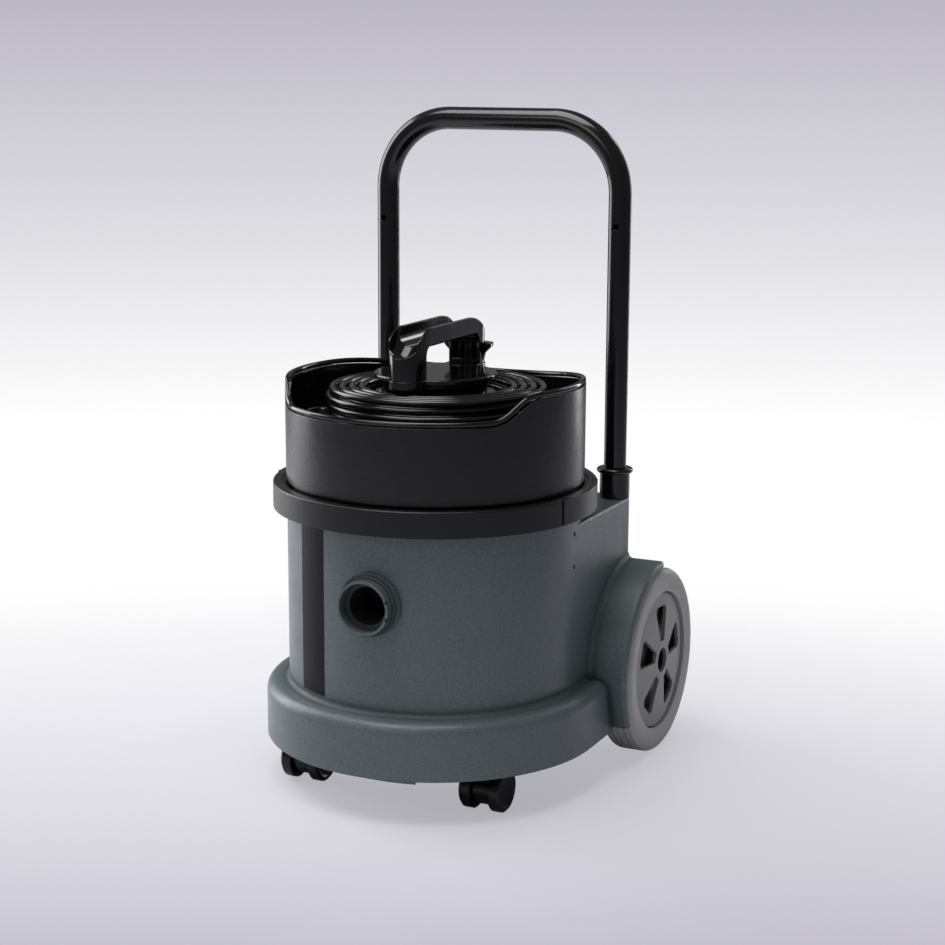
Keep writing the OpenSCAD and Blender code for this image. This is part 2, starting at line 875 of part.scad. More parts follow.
module inner_wheel() {
    translate([2 * caster_x, 0, 0]) mirror([1, 0, 0]) caster_wheel();
}

module caster_body_left() {
    mirror_x(true) caster_body();
}

module caster_body_right() {
    caster_body();
}

module caster_pin_left() {
    mirror_x(true) caster_pin();
}

module caster_pin_right() {
    caster_pin();
}

module caster_wheel_left_a() {
    mirror_x(true) caster_wheel();
}

module caster_wheel_left_b() {
    mirror_x(true) inner_wheel();
}

module caster_wheel_right_a() {
    caster_wheel();
}

module caster_wheel_right_b() {
    inner_wheel();
}

module caster_sockets() {
    color([0.55, 0.55, 0.57]) place() at_swivels() translate([0, 0, caster_pad_z]) difference() {
        cylinder(r = caster_socket_r, h = floor_z + drum_wall - 2.5 - caster_pad_z);
        translate([0, 0, -1]) cylinder(d = stem_d + 2 * fit, h = far);
    }
}

// ---------- clamp ring and latches ----------

ring_r = ring_d / 2;
ring_z = rim_z + ring_gap;
ring_top_z = ring_z + ring_h;
cowl_r = cowl_d / 2;
ring_in_r = max(drum_r, cowl_r) + 0.4;
deck_z = rim_z + 3.6;
deck_t = 4;
latch_in_r = ring_r - latch_t;
latch_slack = 0.5;
hinge_angle = latch_to - 2;
hinge_r = ring_r - latch_t / 2;
knuckle_angle = 3;
lug_t = 4;
latch_pin_r = 1.5;
finger_t = 0.8;
finger_angle = 2.2;

// A sector of a ring between two angles from the front, on the +X side.
module sector(in_r, out_r, from, to, low, h) {
    translate([0, 0, low]) rotate([0, 0, from - 90]) rotate_extrude(angle = to - from)
        translate([in_r, 0]) square([out_r - in_r, h]);
}

module at_hinge() {
    rotate([0, 0, hinge_angle - 90]) translate([hinge_r, 0, 0]) children();
}

module clamp_ring() {
    seam = latch_seam / ring_r * 180 / PI;
    lug_from = hinge_angle - knuckle_angle;
    color(black) place() difference() {
        rotate_extrude() difference() {
            union() {
                translate([ring_in_r, ring_z]) square([ring_r - ring_in_r, ring_h - 2]);
                translate([ring_in_r, ring_z]) square([ring_r - ring_in_r - 2, ring_h]);
                translate([ring_r - 2, ring_top_z - 2]) circle(r = 2);
                translate([ring_in_r - 6, deck_z + deck_t + clear]) square([8, 3]);
            }
            translate([ring_in_r - 1, ring_top_z - 1.5]) square([5, 3]);
        }
        both_sides() {
            sector(latch_in_r, ring_r + 5, latch_from - seam, lug_from, ring_z - 1, ring_h + 2);
            sector(latch_in_r, ring_r + 5, lug_from - eps, latch_to, ring_z + lug_t, ring_h - 2 * lug_t);
            at_hinge() cylinder(r = latch_pin_r + fit, h = far);
        }
    }
}

module latch() {
    plate_to = hinge_angle - knuckle_angle - latch_slack / 2;
    plate_z = ring_z + latch_slack / 2;
    plate_h = ring_h - latch_slack;
    knuckle_h = ring_h - 2 * lug_t - latch_slack;
    color(black) place() difference() {
        union() {
            sector(latch_in_r + latch_slack, ring_r, latch_from, plate_to, plate_z, plate_h);
            sector(ring_r - 1, ring_r + finger_t, latch_from, latch_from + finger_angle, plate_z, plate_h);
            sector(latch_in_r + latch_slack, ring_r, plate_to - 0.5, hinge_angle, plate_z + lug_t, knuckle_h);
            at_hinge() translate([0, 0, plate_z + lug_t])
                cylinder(r = latch_t / 2 - latch_slack, h = knuckle_h);
        }
        at_hinge() cylinder(r = latch_pin_r + fit, h = far);
    }
}

module latch_left() {
    mirror_x(true) latch();
}

module latch_right() {
    latch();
}

module latch_pins() {
    color([0.6, 0.6, 0.62]) place() both_sides() at_hinge()
        translate([0, 0, ring_z + 0.5]) cylinder(r = latch_pin_r, h = ring_h - 1);
}

// ---------- motor deck, filter and motor ----------

well_r = fan_case_d / 2 + 12;
well_wall = 3;
mount_t = 6;
post_r = 7;
post_screw_d = 4;
intake_r = 30;
motor_wall = 3;
fan_eye_r = 22;
case_wall = 2;
foam_t = 16;
foam_in_gap = 40;
well_depth = 71;
fan_case_z = deck_z - well_depth + 2 * clear + mount_t + well_wall;
well_z = deck_z - well_depth;
motor_z = fan_case_z + fan_case_h + clear;
shaft_r = shaft_d / 2;
gutter_in_r = coil_out_r + cord_d / 2 + 2;
bowl_r = cowl_r - cowl_wall - clear;
bowl_in_r = bowl_r - bowl_wall;
gutter_z = bowl_floor_z - gutter_depth;

post_ring_r = (gutter_in_r + bowl_in_r) / 2;

module at_posts() {
    for (a = [0 : 90 : 270])
        rotate([0, 0, a]) translate([post_ring_r, 0, 0]) children();
}

post_top_z = gutter_z - bowl_wall - clear;

module motor_deck() {
    color([0.12, 0.12, 0.13]) place() difference() {
        union() {
            rotate_extrude() {
                translate([well_r, deck_z]) square([cowl_r - clear - well_r, deck_t]);
                translate([well_r, well_z]) square([well_wall, deck_z - well_z + eps]);
                translate([intake_r, well_z]) square([well_r + well_wall - intake_r, well_wall]);
            }
            at_posts() translate([0, 0, deck_z]) cylinder(r = post_r, h = post_top_z - deck_z);
        }
        at_posts() {
            translate([0, 0, deck_z - 1]) cylinder(r = post_r - 2.2, h = post_top_z - deck_z - 8);
            cylinder(d = post_screw_d + 2 * fit, h = far);
        }
    }
}

module head_seal() {
    color([0.15, 0.15, 0.15]) place() translate([0, 0, rim_z + clear])
        tube(drum_r - 1, drum_r - 9, deck_z - rim_z - 2 * clear);
}

filter_ring_r = drum_in_r - 5.5;
filter_ring_z = rim_z - 6;

module filter_ring() {
    color([0.2, 0.2, 0.22]) place() rotate_extrude() {
        translate([filter_ring_r - 7, filter_ring_z]) square([7, deck_z - filter_ring_z - clear]);
    }
}

module filter_cloth() {
    t = 3;
    top_r = filter_ring_r - 2;
    low_r = well_r + well_wall + 16;
    low_z = well_z - 18;
    top_z = filter_ring_z - clear;
    color([0.75, 0.72, 0.62]) place() rotate_extrude() polygon([
        [0, low_z], [low_r, low_z], [top_r, top_z], [top_r - t, top_z],
        [low_r - t, low_z + t], [0, low_z + t]
    ]);
}

module motor_mount() {
    color([0.1, 0.1, 0.1]) place() translate([0, 0, well_z + well_wall + clear])
        tube(fan_case_d / 2 - 4, intake_r + 4, mount_t);
}

module fan_case() {
    r = fan_case_d / 2;
    color([0.62, 0.62, 0.64]) place() translate([0, 0, fan_case_z]) rotate_extrude() difference() {
        translate([fan_eye_r, 0]) square([r - fan_eye_r, fan_case_h]);
        translate([0, case_wall]) square([r - case_wall, fan_case_h - 2 * case_wall]);
    }
}

module motor_body() {
    r = motor_d / 2;
    w = motor_wall;
    color([0.5, 0.5, 0.52]) place() translate([0, 0, motor_z]) difference() {
        rotate_extrude() difference() {
            union() {
                translate([shaft_r + fit, 0]) square([r - shaft_r - fit, w + 1]);
                translate([r - w, 0]) square([w, motor_h]);
                translate([shaft_r + fit, motor_h - w - 1]) square([r - shaft_r - fit, w + 1]);
                translate([0, motor_h - 1]) square([14, 4]);
            }
            translate([-1, -1]) square([shaft_r + fit + 1, motor_h + 1]);
        }
        for (a = [0 : 30 : 330])
            rotate([0, 0, a]) translate([r - 2 * w, -3, motor_h - 22]) cube([3 * w, 6, 14]);
    }
}

module armature() {
    low = fan_case_z + 6;
    stack_gap = 12;
    color([0.7, 0.45, 0.2]) place() union() {
        translate([0, 0, low]) cylinder(r = shaft_r, h = motor_z + motor_h - 1.5 - low);
        translate([0, 0, motor_z + stack_gap])
            cylinder(r = motor_d / 2 - motor_wall - stack_gap, h = motor_h - 3 * stack_gap);
        translate([0, 0, motor_z + motor_h - 18]) cylinder(r = shaft_r + 8, h = 11);
    }
}

module fan() {
    r = fan_d / 2;
    plate = 2;
    gap = 5;
    h = fan_case_h - 2 * case_wall - 2 * gap;
    color([0.8, 0.8, 0.82]) place() translate([0, 0, fan_case_z + case_wall + gap]) difference() {
        union() {
            translate([0, 0, h - plate]) cylinder(r = r, h = plate);
            tube(r, fan_eye_r - 2, plate);
            cylinder(r = shaft_r + 5, h = h);
            for (a = [0 : 60 : 300])
                rotate([0, 0, a]) translate([fan_eye_r, -18, plate / 2])
                    cube([r - fan_eye_r - 4, 2, h - plate]);
        }
        translate([0, 0, -1]) cylinder(r = shaft_r + fit, h = h + 2);
    }
}

module exhaust_foam() {
    color([0.3, 0.3, 0.3]) place() translate([0, 0, deck_z + deck_t + clear]) difference() {
        tube(ring_in_r - 8, motor_d / 2 + foam_in_gap, foam_t);
        at_posts() translate([0, 0, -1]) cylinder(r = post_r + clear, h = foam_t + 2);
    }
}

// ---------- cowl and cable bowl ----------

cowl_z = ring_top_z + exhaust_gap;
edge_r = edge_t / 2;
rim_low_x = cowl_r * sin(cowl_low_angle);
rim_high_x = cowl_r * sin(cowl_high_angle);
rim_slope = atan2(cowl_side_z - cowl_front_z, rim_high_x - rim_low_x);
low_bend = [rim_low_x - rim_round * tan(rim_slope / 2), cowl_front_z + rim_round];
high_bend = [rim_high_x + rim_round * tan(rim_slope / 2), cowl_side_z - rim_round];
fall_y = 42;
fall_drop = cowl_side_z - cowl_back_z;
fall_r = (pow(cowl_r - fall_y, 2) + pow(fall_drop, 2)) / (2 * fall_drop);

// Height of the rim's back half at a distance behind the drum axis.
function back_rim(y) = y < fall_y ? cowl_side_z
    : cowl_side_z - fall_r + sqrt(pow(fall_r, 2) - pow(y - fall_y, 2));

// Height of the rim's front half, lowered by d, at a distance x from the middle.
function front_rim(x, d) =
    let (u = abs(x), low_r = rim_round + d, high_r = rim_round - d)
    u < low_bend[0] ? cowl_front_z - d
    : u < low_bend[0] + low_r * sin(rim_slope) ? low_bend[1] - sqrt(pow(low_r, 2) - pow(u - low_bend[0], 2))
    : u < high_bend[0] - high_r * sin(rim_slope)
        ? cowl_front_z - d + (u - rim_low_x - d * tan(rim_slope / 2)) * tan(rim_slope)
    : u < high_bend[0] ? high_bend[1] + sqrt(pow(high_r, 2) - pow(high_bend[0] - u, 2))
    : cowl_side_z - d;

function rim_height(angle, d) = abs(angle) < 90
    ? front_rim(cowl_r * sin(angle), d)
    : back_rim(-cowl_r * cos(angle)) - d;

// What is left between a corner's two sides and the arc that rounds it, spread 1 mm past the sides.
module bend_waste(r, from) {
    tip = from + rim_slope / 2;
    difference() {
        polygon([
            [0, 0], (r + 1) * [cos(from), sin(from)], (r + 1) / cos(rim_slope / 2) * [cos(tip), sin(tip)],
            (r + 1) * [cos(from + rim_slope), sin(from + rim_slope)]
        ]);
        circle(r = r + 0.02);
    }
}

// All that lies above the rim once the rim is lowered by d.
module above_rim(d) {
    reach = cowl_r + 10;
    shift = d * tan(rim_slope / 2);
    translate([reach, 0, 0]) rotate([90, 0, -90]) linear_extrude(2 * reach) polygon(concat(
        [[reach, cowl_side_z - d], [-fall_y, cowl_side_z - d]],
        [for (y = [fall_y + 15 : 15 : cowl_r - 5]) [-y, back_rim(y) - d]],
        [[-cowl_r, cowl_back_z - d], [-reach, cowl_back_z - d - 3], [-reach, far], [reach, far]]
    ));
    rotate([90, 0, 0]) linear_extrude(reach) {
        difference() {
            polygon([
                [rim_low_x + shift, cowl_front_z - d], [rim_high_x + shift, cowl_side_z - d],
                [rim_high_x + shift, far], [-rim_high_x - shift, far],
                [-rim_high_x - shift, cowl_side_z - d], [-rim_low_x - shift, cowl_front_z - d]
            ]);
            for (s = [0, 1])
                mirror([s, 0]) translate(low_bend) bend_waste(rim_round + d, -90);
        }
        for (s = [0, 1])
            mirror([s, 0]) translate(high_bend) bend_waste(rim_round - d, 90);
    }
}

edge_seat = edge_t + 0.6;
seam_w = 2.4;
seam_depth = 1.5;
switch_z = 362;
switch_w = 32;
switch_h = 22;

module cowl() {
    color(black) place() difference() {
        translate([0, 0, cowl_z]) tube(cowl_r, cowl_r - cowl_wall, cowl_side_z - cowl_z);
        above_rim(edge_seat);
        translate([-switch_w / 2, 0, switch_z - switch_h / 2]) cube([switch_w, far, switch_h]);
        both_sides() rotate([0, 0, seam_angle - 90])
            translate([cowl_r - seam_depth, -seam_w / 2, 0]) cube([far, seam_w, far]);
    }
}

hub_screw_r = 45;

module at_hub_screws() {
    for (a = [45 : 90 : 315])
        rotate([0, 0, a]) translate([hub_screw_r, 0, 0]) children();
}

module cable_bowl() {
    low_z = gutter_z;
    hole_r = 30;
    color(black) place() difference() {
        rotate_extrude() {
            translate([hole_r, bowl_floor_z - bowl_wall]) square([gutter_in_r - hole_r, bowl_wall]);
            translate([gutter_in_r - bowl_wall, low_z - bowl_wall])
                square([bowl_wall, gutter_depth + bowl_wall]);
            translate([gutter_in_r - bowl_wall, low_z - bowl_wall])
                square([bowl_r - gutter_in_r + bowl_wall, bowl_wall]);
            translate([bowl_in_r, low_z - bowl_wall]) square([bowl_wall, cowl_side_z - low_z]);
        }
        above_rim(edge_seat);
        at_hub_screws() cylinder(d = post_screw_d + 2 * fit, h = far);
        at_posts() cylinder(d = post_screw_d + 2 * fit, h = far);
        gland_stem(gland_stem_r + fit, gutter_z - 20, 40);
    }
}

function edge_point(angle) =
    let (r = cowl_r - edge_r)
    [r * sin(angle), -r * cos(angle), rim_height(angle, edge_r)];

// Cross-section frame: a tube of points round each point of a level-ish path.
function unit(v) = v / norm(v);

function path_dir(path, i, closed) =
    let (n = len(path))
    closed ? unit(path[(i + 1) % n] - path[(i + n - 1) % n])
    : unit(path[min(i + 1, n - 1)] - path[max(i - 1, 0)]);

function ring_at(p, dir, r, sides) =
    let (across = unit(cross([0, 0, 1], dir)), up = cross(dir, across))
    [for (k = [0 : sides - 1])
        let (a = (k + 0.5) * 360 / sides) p + r * (cos(a) * across + sin(a) * up)];

// Sweeps a round section along a path; r may be a number or one radius a point.
module sweep(path, r, sides, closed = false) {
    n = len(path);
    rings = [for (i = [0 : n - 1])
        ring_at(path[i], path_dir(path, i, closed), is_list(r) ? r[i] : r, sides)];
    points = [for (ring = rings) each ring];
    last = closed ? n - 1 : n - 2;
    walls = [for (i = [0 : last], k = [0 : sides - 1])
        let (
            a = i * sides + k,
            b = i * sides + (k + 1) % sides,
            c = ((i + 1) % n) * sides + (k + 1) % sides,
            d = ((i + 1) % n) * sides + k
        )
        each [[a, c, b], [a, d, c]]];
    start_cap = [for (k = [1 : sides - 2]) [0, k, k + 1]];
    end_cap = [for (k = [1 : sides - 2]) (n - 1) * sides * [1, 1, 1] + [0, k + 1, k]];
    polyhedron(points, closed ? walls : concat(walls, start_cap, end_cap), convexity = 10);
}

module bowl_edge() {
    color([0.03, 0.03, 0.03]) place()
        sweep([for (a = [-180 : 2.5 : 177.5]) edge_point(a)], edge_r, 8, closed = true);
}

module bowl_screws() {
    color([0.6, 0.6, 0.62]) place() at_posts() translate([0, 0, gutter_z + clear]) {
        cylinder(r = post_screw_d, h = screw_head_t);
        translate([0, 0, -18]) cylinder(d = post_screw_d, h = 18 + eps);
    }
}

tier_r = tier_d / 2;
disc_r = disc_d / 2;
hub_wall = 3;
hub_z = bowl_floor_z + clear;
hub_top_z = disc_z - disc_t - clear;
ear_t = disc_t + 4;
ear_z = disc_z - ear_t;
screw_head_t = 2.5;

module cable_hub() {
    lip = 2.5;
    top_z = hub_top_z;
    color(black) place() difference() {
        union() {
            rotate_extrude() difference() {
                union() {
                    translate([0, hub_z]) square([tier_r, tier_z - hub_z - lip]);
                    translate([0, tier_z - 2 * lip]) square([tier_r - lip, 2 * lip]);
                    translate([tier_r - lip, tier_z - lip]) circle(r = lip);
                    translate([0, hub_z]) square([waist_d / 2, top_z - hub_z]);
                }
                translate([-1, hub_z - 1]) square([tier_r - hub_wall + 1, tier_z - hub_z - hub_wall + 1]);
                translate([-1, hub_z - 1])
                    square([waist_d / 2 - hub_wall + 1, top_z - hub_z - hub_wall + 1]);
            }
            at_hub_screws() translate([0, 0, hub_z]) cylinder(r = post_screw_d + 1, h = top_z - hub_z - 1);
        }
        at_hub_screws() translate([0, 0, hub_z - 1]) cylinder(d = post_screw_d + 2 * fit, h = 21);
        at_disc_screws() cylinder(d = post_screw_d + 2 * fit, h = far);
    }
}

disc_screw_x = 30;

// The disc is screwed to the hub from below.
module at_disc_screws() {
    for (x = [-disc_screw_x, disc_screw_x])
        translate([x, 0, 0]) children();
}

// The carry handle's feet are screwed to the disc's ears from below.
module at_grip_screws() {
    for (y = [grip_front_c, grip_rear_c])
        translate([0, y, 0]) children();
}

module screw(shank) {
    cylinder(r = post_screw_d, h = screw_head_t);
    translate([0, 0, screw_head_t - eps]) cylinder(d = post_screw_d, h = shank);
}

module hub_screws() {
    color([0.6, 0.6, 0.62]) place() {
        at_hub_screws() translate([0, 0, bowl_floor_z - bowl_wall - clear - screw_head_t]) screw(20);
        at_disc_screws() translate([0, 0, hub_top_z - hub_wall - clear - screw_head_t])
            screw(hub_wall + disc_t - 1);
        at_grip_screws() translate([0, 0, ear_z + 0.5]) screw(ear_t + 5);
    }
}

grip_r = grip_w / 2;
grip_in_r = grip_r - grip_wall;
grip_front_c = -grip_front_y - 8;
grip_rear_c = grip_rear_y + 8;
grip_foot_z = disc_z + clear;
trough_z = grip_z - grip_rim_h;
grip_side_z = trough_z - 12.5;
window_r = 12;
spout_run = 22;
front_bend_y = 44;
rear_bend_y = 46;
lip_out = 10;
spout_z = grip_z - spout_run * tan(spout_angle);
spout_lift = 7;
spout_end = (grip_r - 2) / cos(spout_angle) - sqrt(pow(spout_r, 2) - pow(spout_lift, 2));

module grip_plan(r) {
    translate([-r, grip_front_c]) square([2 * r, grip_rear_c - grip_front_c]);
    for (y = [grip_front_c, grip_rear_c])
        translate([0, y]) circle(r = r);
}

module hub_disc() {
    lip = 2;
    color(black) place() difference() {
        union() {
            rotate_extrude() {
                translate([0, disc_z - disc_t]) square([disc_r - lip, disc_t]);
                translate([0, disc_z - disc_t]) square([disc_r, disc_t - lip]);
                translate([disc_r - lip, disc_z - lip]) circle(r = lip);
            }
            translate([0, 0, ear_z]) linear_extrude(ear_t) grip_plan(grip_r + 1);
        }
        translate([0, 0, ear_z - 1]) cylinder(r = waist_d / 2 + clear, h = ear_t - disc_t + 1);
        at_disc_screws() translate([0, 0, disc_z - disc_t - 1])
            cylinder(d = post_screw_d + 2 * fit, h = disc_t);
        at_grip_screws() {
            cylinder(d = post_screw_d + 2 * fit, h = far);
            translate([0, 0, ear_z - 1]) cylinder(r = post_screw_d + clear, h = screw_head_t + 2);
        }
    }
}

// Puts a shape on one end of the grip, with the drum axis toward -Y.
module at_end(front) {
    mirror([0, front ? 1 : 0, 0]) translate([0, front ? -grip_front_c : grip_rear_c, 0]) children();
}

// The same, with +Y running down the spout and z = 0 on the plane that it is cut to.
module at_spout(front) {
    at_end(front) translate([0, 0, spout_z]) rotate([-spout_angle, 0, 0]) children();
}

module spout_scoop() {
    translate([0, spout_end, spout_lift]) {
        rotate_extrude() intersection() {
            circle(r = spout_r);
            translate([0, -spout_r]) square(2 * spout_r);
        }
        cylinder(r = spout_r, h = 60);
        rotate([90, 0, 0]) cylinder(r = spout_r, h = 60);
    }
}

// All that lies over the side rims where they bend down, from y at the drum axis outward.
module rim_bend(front) {
    r = front ? front_bend_r : rear_bend_r;
    y = front ? front_bend_y : rear_bend_y;
    mirror([0, front ? 1 : 0, 0]) translate([-grip_w, y, grip_z - r]) rotate([90, 0, 90])
        linear_extrude(2 * grip_w)
        difference() {
            square([2 * grip_w, r + 1]);
            circle(r = r + 0.02);
        }
}

// The opening under the bridge, with the bridge's round belly left standing.
module grip_window() {
    front = -grip_front_y;
    difference() {
        translate([-grip_r - 1, 0, 0]) rotate([90, 0, 90]) linear_extrude(grip_w + 2) {
            translate([front, grip_foot_z - 1])
                square([grip_front_y + grip_rear_y, grip_side_z - window_r - grip_foot_z + 1]);
            translate([front + window_r, grip_foot_z])
                square([grip_front_y + grip_rear_y - 2 * window_r, grip_side_z - grip_foot_z]);
            for (y = [front + window_r, grip_rear_y - window_r])
                translate([y, grip_side_z - window_r]) circle(r = window_r);
        }
        translate([0, front - 1, trough_z]) rotate([-90, 0, 0])
            cylinder(r = grip_r, h = grip_front_y + grip_rear_y + 2);
    }
}

// Each leg is hollow toward the opening, with two ribs and a screw boss.
module leg_hollow(front) {
    reach = 9;
    intersection() {
        at_end(front) translate([0, 0, grip_foot_z + 4]) linear_extrude(40) difference() {
            union() {
                circle(r = grip_in_r);
                translate([-grip_in_r, -reach]) square([2 * grip_in_r, reach]);
            }
            circle(r = post_screw_d + 1);
            for (x = [-7, 7])
                translate([x - 1.2, -reach + 2.5]) square([2.4, 40]);
        }
        at_spout(front) translate([-grip_r, -2 * grip_r, -spout_r - 60]) cube([grip_w, 4 * grip_r, 60 + 2]);
    }
}

module rear_lip() {
    top_z = spout_z - 15;
    low_z = spout_z - 34;
    translate([0, grip_rear_c, 0]) rotate_extrude(angle = 180) polygon([
        [grip_in_r + 1, low_z], [grip_r, low_z], [grip_r + 2, low_z + 8], [grip_r + lip_out, top_z - 3],
        [grip_r + lip_out, top_z], [grip_r, top_z + 1], [grip_in_r + 1, top_z + 1]
    ]);
}

module carry_handle() {
    color([0.08, 0.08, 0.085]) place() difference() {
        union() {
            translate([0, 0, grip_foot_z]) linear_extrude(grip_z - grip_foot_z) grip_plan(grip_r);
            rear_lip();
        }
        grip_window();
        translate([0, grip_front_c - grip_r, trough_z])
            rotate([-90, 0, 0]) cylinder(r = grip_in_r, h = 2 * grip_w + grip_rear_c - grip_front_c);
        translate([-grip_in_r, grip_front_c - grip_r, trough_z])
            cube([2 * grip_in_r, 2 * grip_w + grip_rear_c - grip_front_c, grip_rim_h + 1]);
        for (front = [true, false]) {
            rim_bend(front);
            at_spout(front) spout_scoop();
            leg_hollow(front);
        }
        at_grip_screws() translate([0, 0, grip_foot_z - 1]) cylinder(d = post_screw_d + 2 * fit, h = 9);
    }
}

// ---------- switch ----------

bezel_t = 2.5;
bezel_wall = 1.7;
bezel_back_y = 149;
rocker_y = cowl_r - 1;
rocker_w = 26;
rocker_h = 15;
rocker_pin_r = 1.5;
rocker_rest = 10;
rocker_in = 4;
rocker_out = 6.5;
rocker_dip = 1.5;

module at_switch() {
    translate([0, 0, switch_z]) rotate([-90, 0, 0]) children();
}

module switch_bezel() {
    w = switch_w - 2 * clear;
    h = switch_h - 2 * clear;
    color([0.1, 0.1, 0.1]) place() difference() {
        union() {
            intersection() {
                at_switch() translate([-switch_w / 2 - 4, -switch_h / 2 - 4, 0])
                    cube([switch_w + 8, switch_h + 8, far]);
                translate([0, 0, switch_z - 40]) tube(cowl_r + clear + bezel_t, cowl_r + clear, 80);
            }
            at_switch() translate([-w / 2, -h / 2, bezel_back_y]) cube([w, h, cowl_r + 1 - bezel_back_y]);
        }
        at_switch() translate([-w / 2 + bezel_wall, -h / 2 + bezel_wall, bezel_back_y + 2])
            cube([w - 2 * bezel_wall, h - 2 * bezel_wall, far]);
        translate([-w, rocker_y, switch_z]) along_x() cylinder(r = rocker_pin_r + fit, h = 2 * w);
    }
}

module switch_rocker() {
    color([0.75, 0.1, 0.08]) place() translate([0, rocker_y, switch_z]) rotate([-rocker_rest, 0, 0]) {
        rotate([90, 0, 90]) linear_extrude(rocker_w, center = true) polygon([
            [-rocker_in, -rocker_h / 2], [rocker_out, -rocker_h / 2], [rocker_out - rocker_dip, 0],
            [rocker_out, rocker_h / 2], [-rocker_in, rocker_h / 2]
        ]);
        translate([-rocker_w / 2 - 2, 0, 0]) along_x() cylinder(r = rocker_pin_r, h = rocker_w + 4);
    }
}

// ---------- mains cord ----------

coil_layers = 4;
coil_angle = 55;
coil_steps = 24;
coil_z = bowl_floor_z + clear + cord_d / 2;
coil_turns = coil_layers * layer_turns + (coil_layers - 1) / 2;
layer_span = layer_turns + 0.5;

// Radius and height of the coil after t turns: in and out layer by layer.
function coil_radius(t) =
    let (layer = min(floor(t / layer_span), coil_layers - 1))
    let (u = min((t - layer * layer_span) / layer_turns, 1))
    coil_out_r + (coil_in_r - coil_out_r) * (layer % 2 == 0 ? u : 1 - u);

function coil_height(t) =
    let (layer = min(floor(t / layer_span), coil_layers - 1))
    let (climb = (t - layer * layer_span - layer_turns) * 2)
    coil_z + layer_rise * (layer + max(0, min(1, climb)));

function coil_point(t) =
    let (a = coil_angle + 360 * t, r = coil_radius(t))
    [r * cos(a), r * sin(a), coil_height(t)];

coil_along = [-sin(coil_angle), cos(coil_angle), 0];
coil_start = coil_point(0);
coil_end = [coil_start[0], coil_start[1], coil_z + layer_rise * (coil_layers - 1)];
coil_path = concat(
    [coil_start - cord_d * coil_along],
    [for (i = [0 : coil_steps * coil_turns]) coil_point(i / coil_steps)],
    [coil_end + cord_d * coil_along]
);

// Least gap between two turns of the coil, measured on its points.
coil_gap = min([for (i = [1 : len(coil_path) - 2], j = [i + coil_steps / 2 : 1 : len(coil_path) - 2])
    norm(coil_path[i] - coil_path[j])]) - cord_d;
echo(coil_gap = coil_gap, cord_length = coil_turns * PI * (coil_in_r + coil_out_r));

module cord_coil() {
    color([0.04, 0.04, 0.04]) place() sweep(coil_path, cord_d / 2, 6);
}

// Points that the loose end is laid through, from the coil to the plug.
tail_points = [
    [36, 118, 432.5], [9, 132, 427.5], [-16, 140.5, 419]
];
plug_angle = 125;
plug_r = 140.5;
plug_l = 34;
plug_w = 26;
plug_h = 32;
plug_z = gutter_z + clear;
relief_l = 20;
pin_r = 2.4;
pin_l = 19;
pin_pitch = 19;

plug_along = [-sin(plug_angle), cos(plug_angle), 0];
plug_center = [plug_r * cos(plug_angle), plug_r * sin(plug_angle), plug_z + plug_h / 2];
tail_from = coil_end + cord_d * coil_along;
tail_to = plug_center - (plug_l / 2 + relief_l) * plug_along;
tail_knots = concat(
    [tail_from, tail_from + cord_d * coil_along],
    tail_points,
    [tail_to - cord_d * plug_along, tail_to]
);
tail_steps = 12;

function curve_point(p0, p1, p2, p3, t) =
    0.5 * (2 * p1 + (p2 - p0) * t + (2 * p0 - 5 * p1 + 4 * p2 - p3) * t * t
        + (3 * p1 - p0 - 3 * p2 + p3) * t * t * t);

tail_path = concat(
    [tail_knots[0]],
    [for (i = [1 : len(tail_knots) - 3], k = [0 : tail_steps - 1])
        curve_point(tail_knots[i - 1], tail_knots[i], tail_knots[i + 1], tail_knots[i + 2], k / tail_steps)],
    [tail_knots[len(tail_knots) - 2], tail_knots[len(tail_knots) - 1]]
);

module cord_tail() {
    color([0.04, 0.04, 0.04]) place() sweep(tail_path, cord_d / 2, 8);
}

// Turns +Y along the plug, seen from the cord's side, and +Z up.
module at_plug() {
    translate(plug_center) rotate([0, 0, plug_angle]) children();
}

module plug_section() {
    r = 7;
    for (y = [-plug_h / 2 + r, plug_h / 2 - r], x = [-plug_w / 2 + r, plug_w / 2 - r])
        translate([x, y]) circle(r = r);
    square([plug_w - 2 * r, plug_h], center = true);
    square([plug_w, plug_h - 2 * r], center = true);
}

module plug_body() {
    color([0.05, 0.05, 0.05]) place() at_plug() rotate([90, 0, 0]) difference() {
        union() {
            translate([0, 0, -plug_l / 2]) linear_extrude(plug_l - 8) plug_section();
            translate([0, 0, plug_l / 2 - 8 - eps]) cylinder(r = plug_w / 2 - 1, h = 8);
        }
        for (y = [-pin_pitch / 2, pin_pitch / 2])
            translate([0, y, -plug_l / 2 - 1]) cylinder(r = pin_r + fit, h = 13);
        for (s = [-1, 1], z = [-6, -1, 4])
            translate([s * (plug_w / 2 + 1), 0, z]) cube([3, 14, 2], center = true);
    }
}

module plug_relief() {
    color([0.05, 0.05, 0.05]) place() at_plug() translate([0, -plug_l / 2 - clear, 0])
        rotate([90, 0, 0]) difference() {
        cylinder(r1 = 7, r2 = cord_d / 2 + 1, h = relief_l - clear);
        for (z = [4 : 4 : 16])
            translate([0, 0, z]) tube(20, cord_d / 2 + 1.4 - z / 20, 1.2);
    }
}

module plug_pins() {
    color([0.75, 0.68, 0.4]) place() at_plug() rotate([90, 0, 0])
        for (y = [-pin_pitch / 2, pin_pitch / 2])
            translate([0, y, -plug_l / 2 - pin_l]) cylinder(r = pin_r, h = pin_l + 11);
}

gland_l = 20;
gland_stem_r = 5;
gland_stem_x = 12.5;
gland_block = [24, 15, 10];
gland_nut_t = 4;

// The gland stands beside the coil's start, with +Y along the cord.
module at_gland() {
    translate(coil_start - cord_d * coil_along) rotate([0, 0, coil_angle]) children();
}

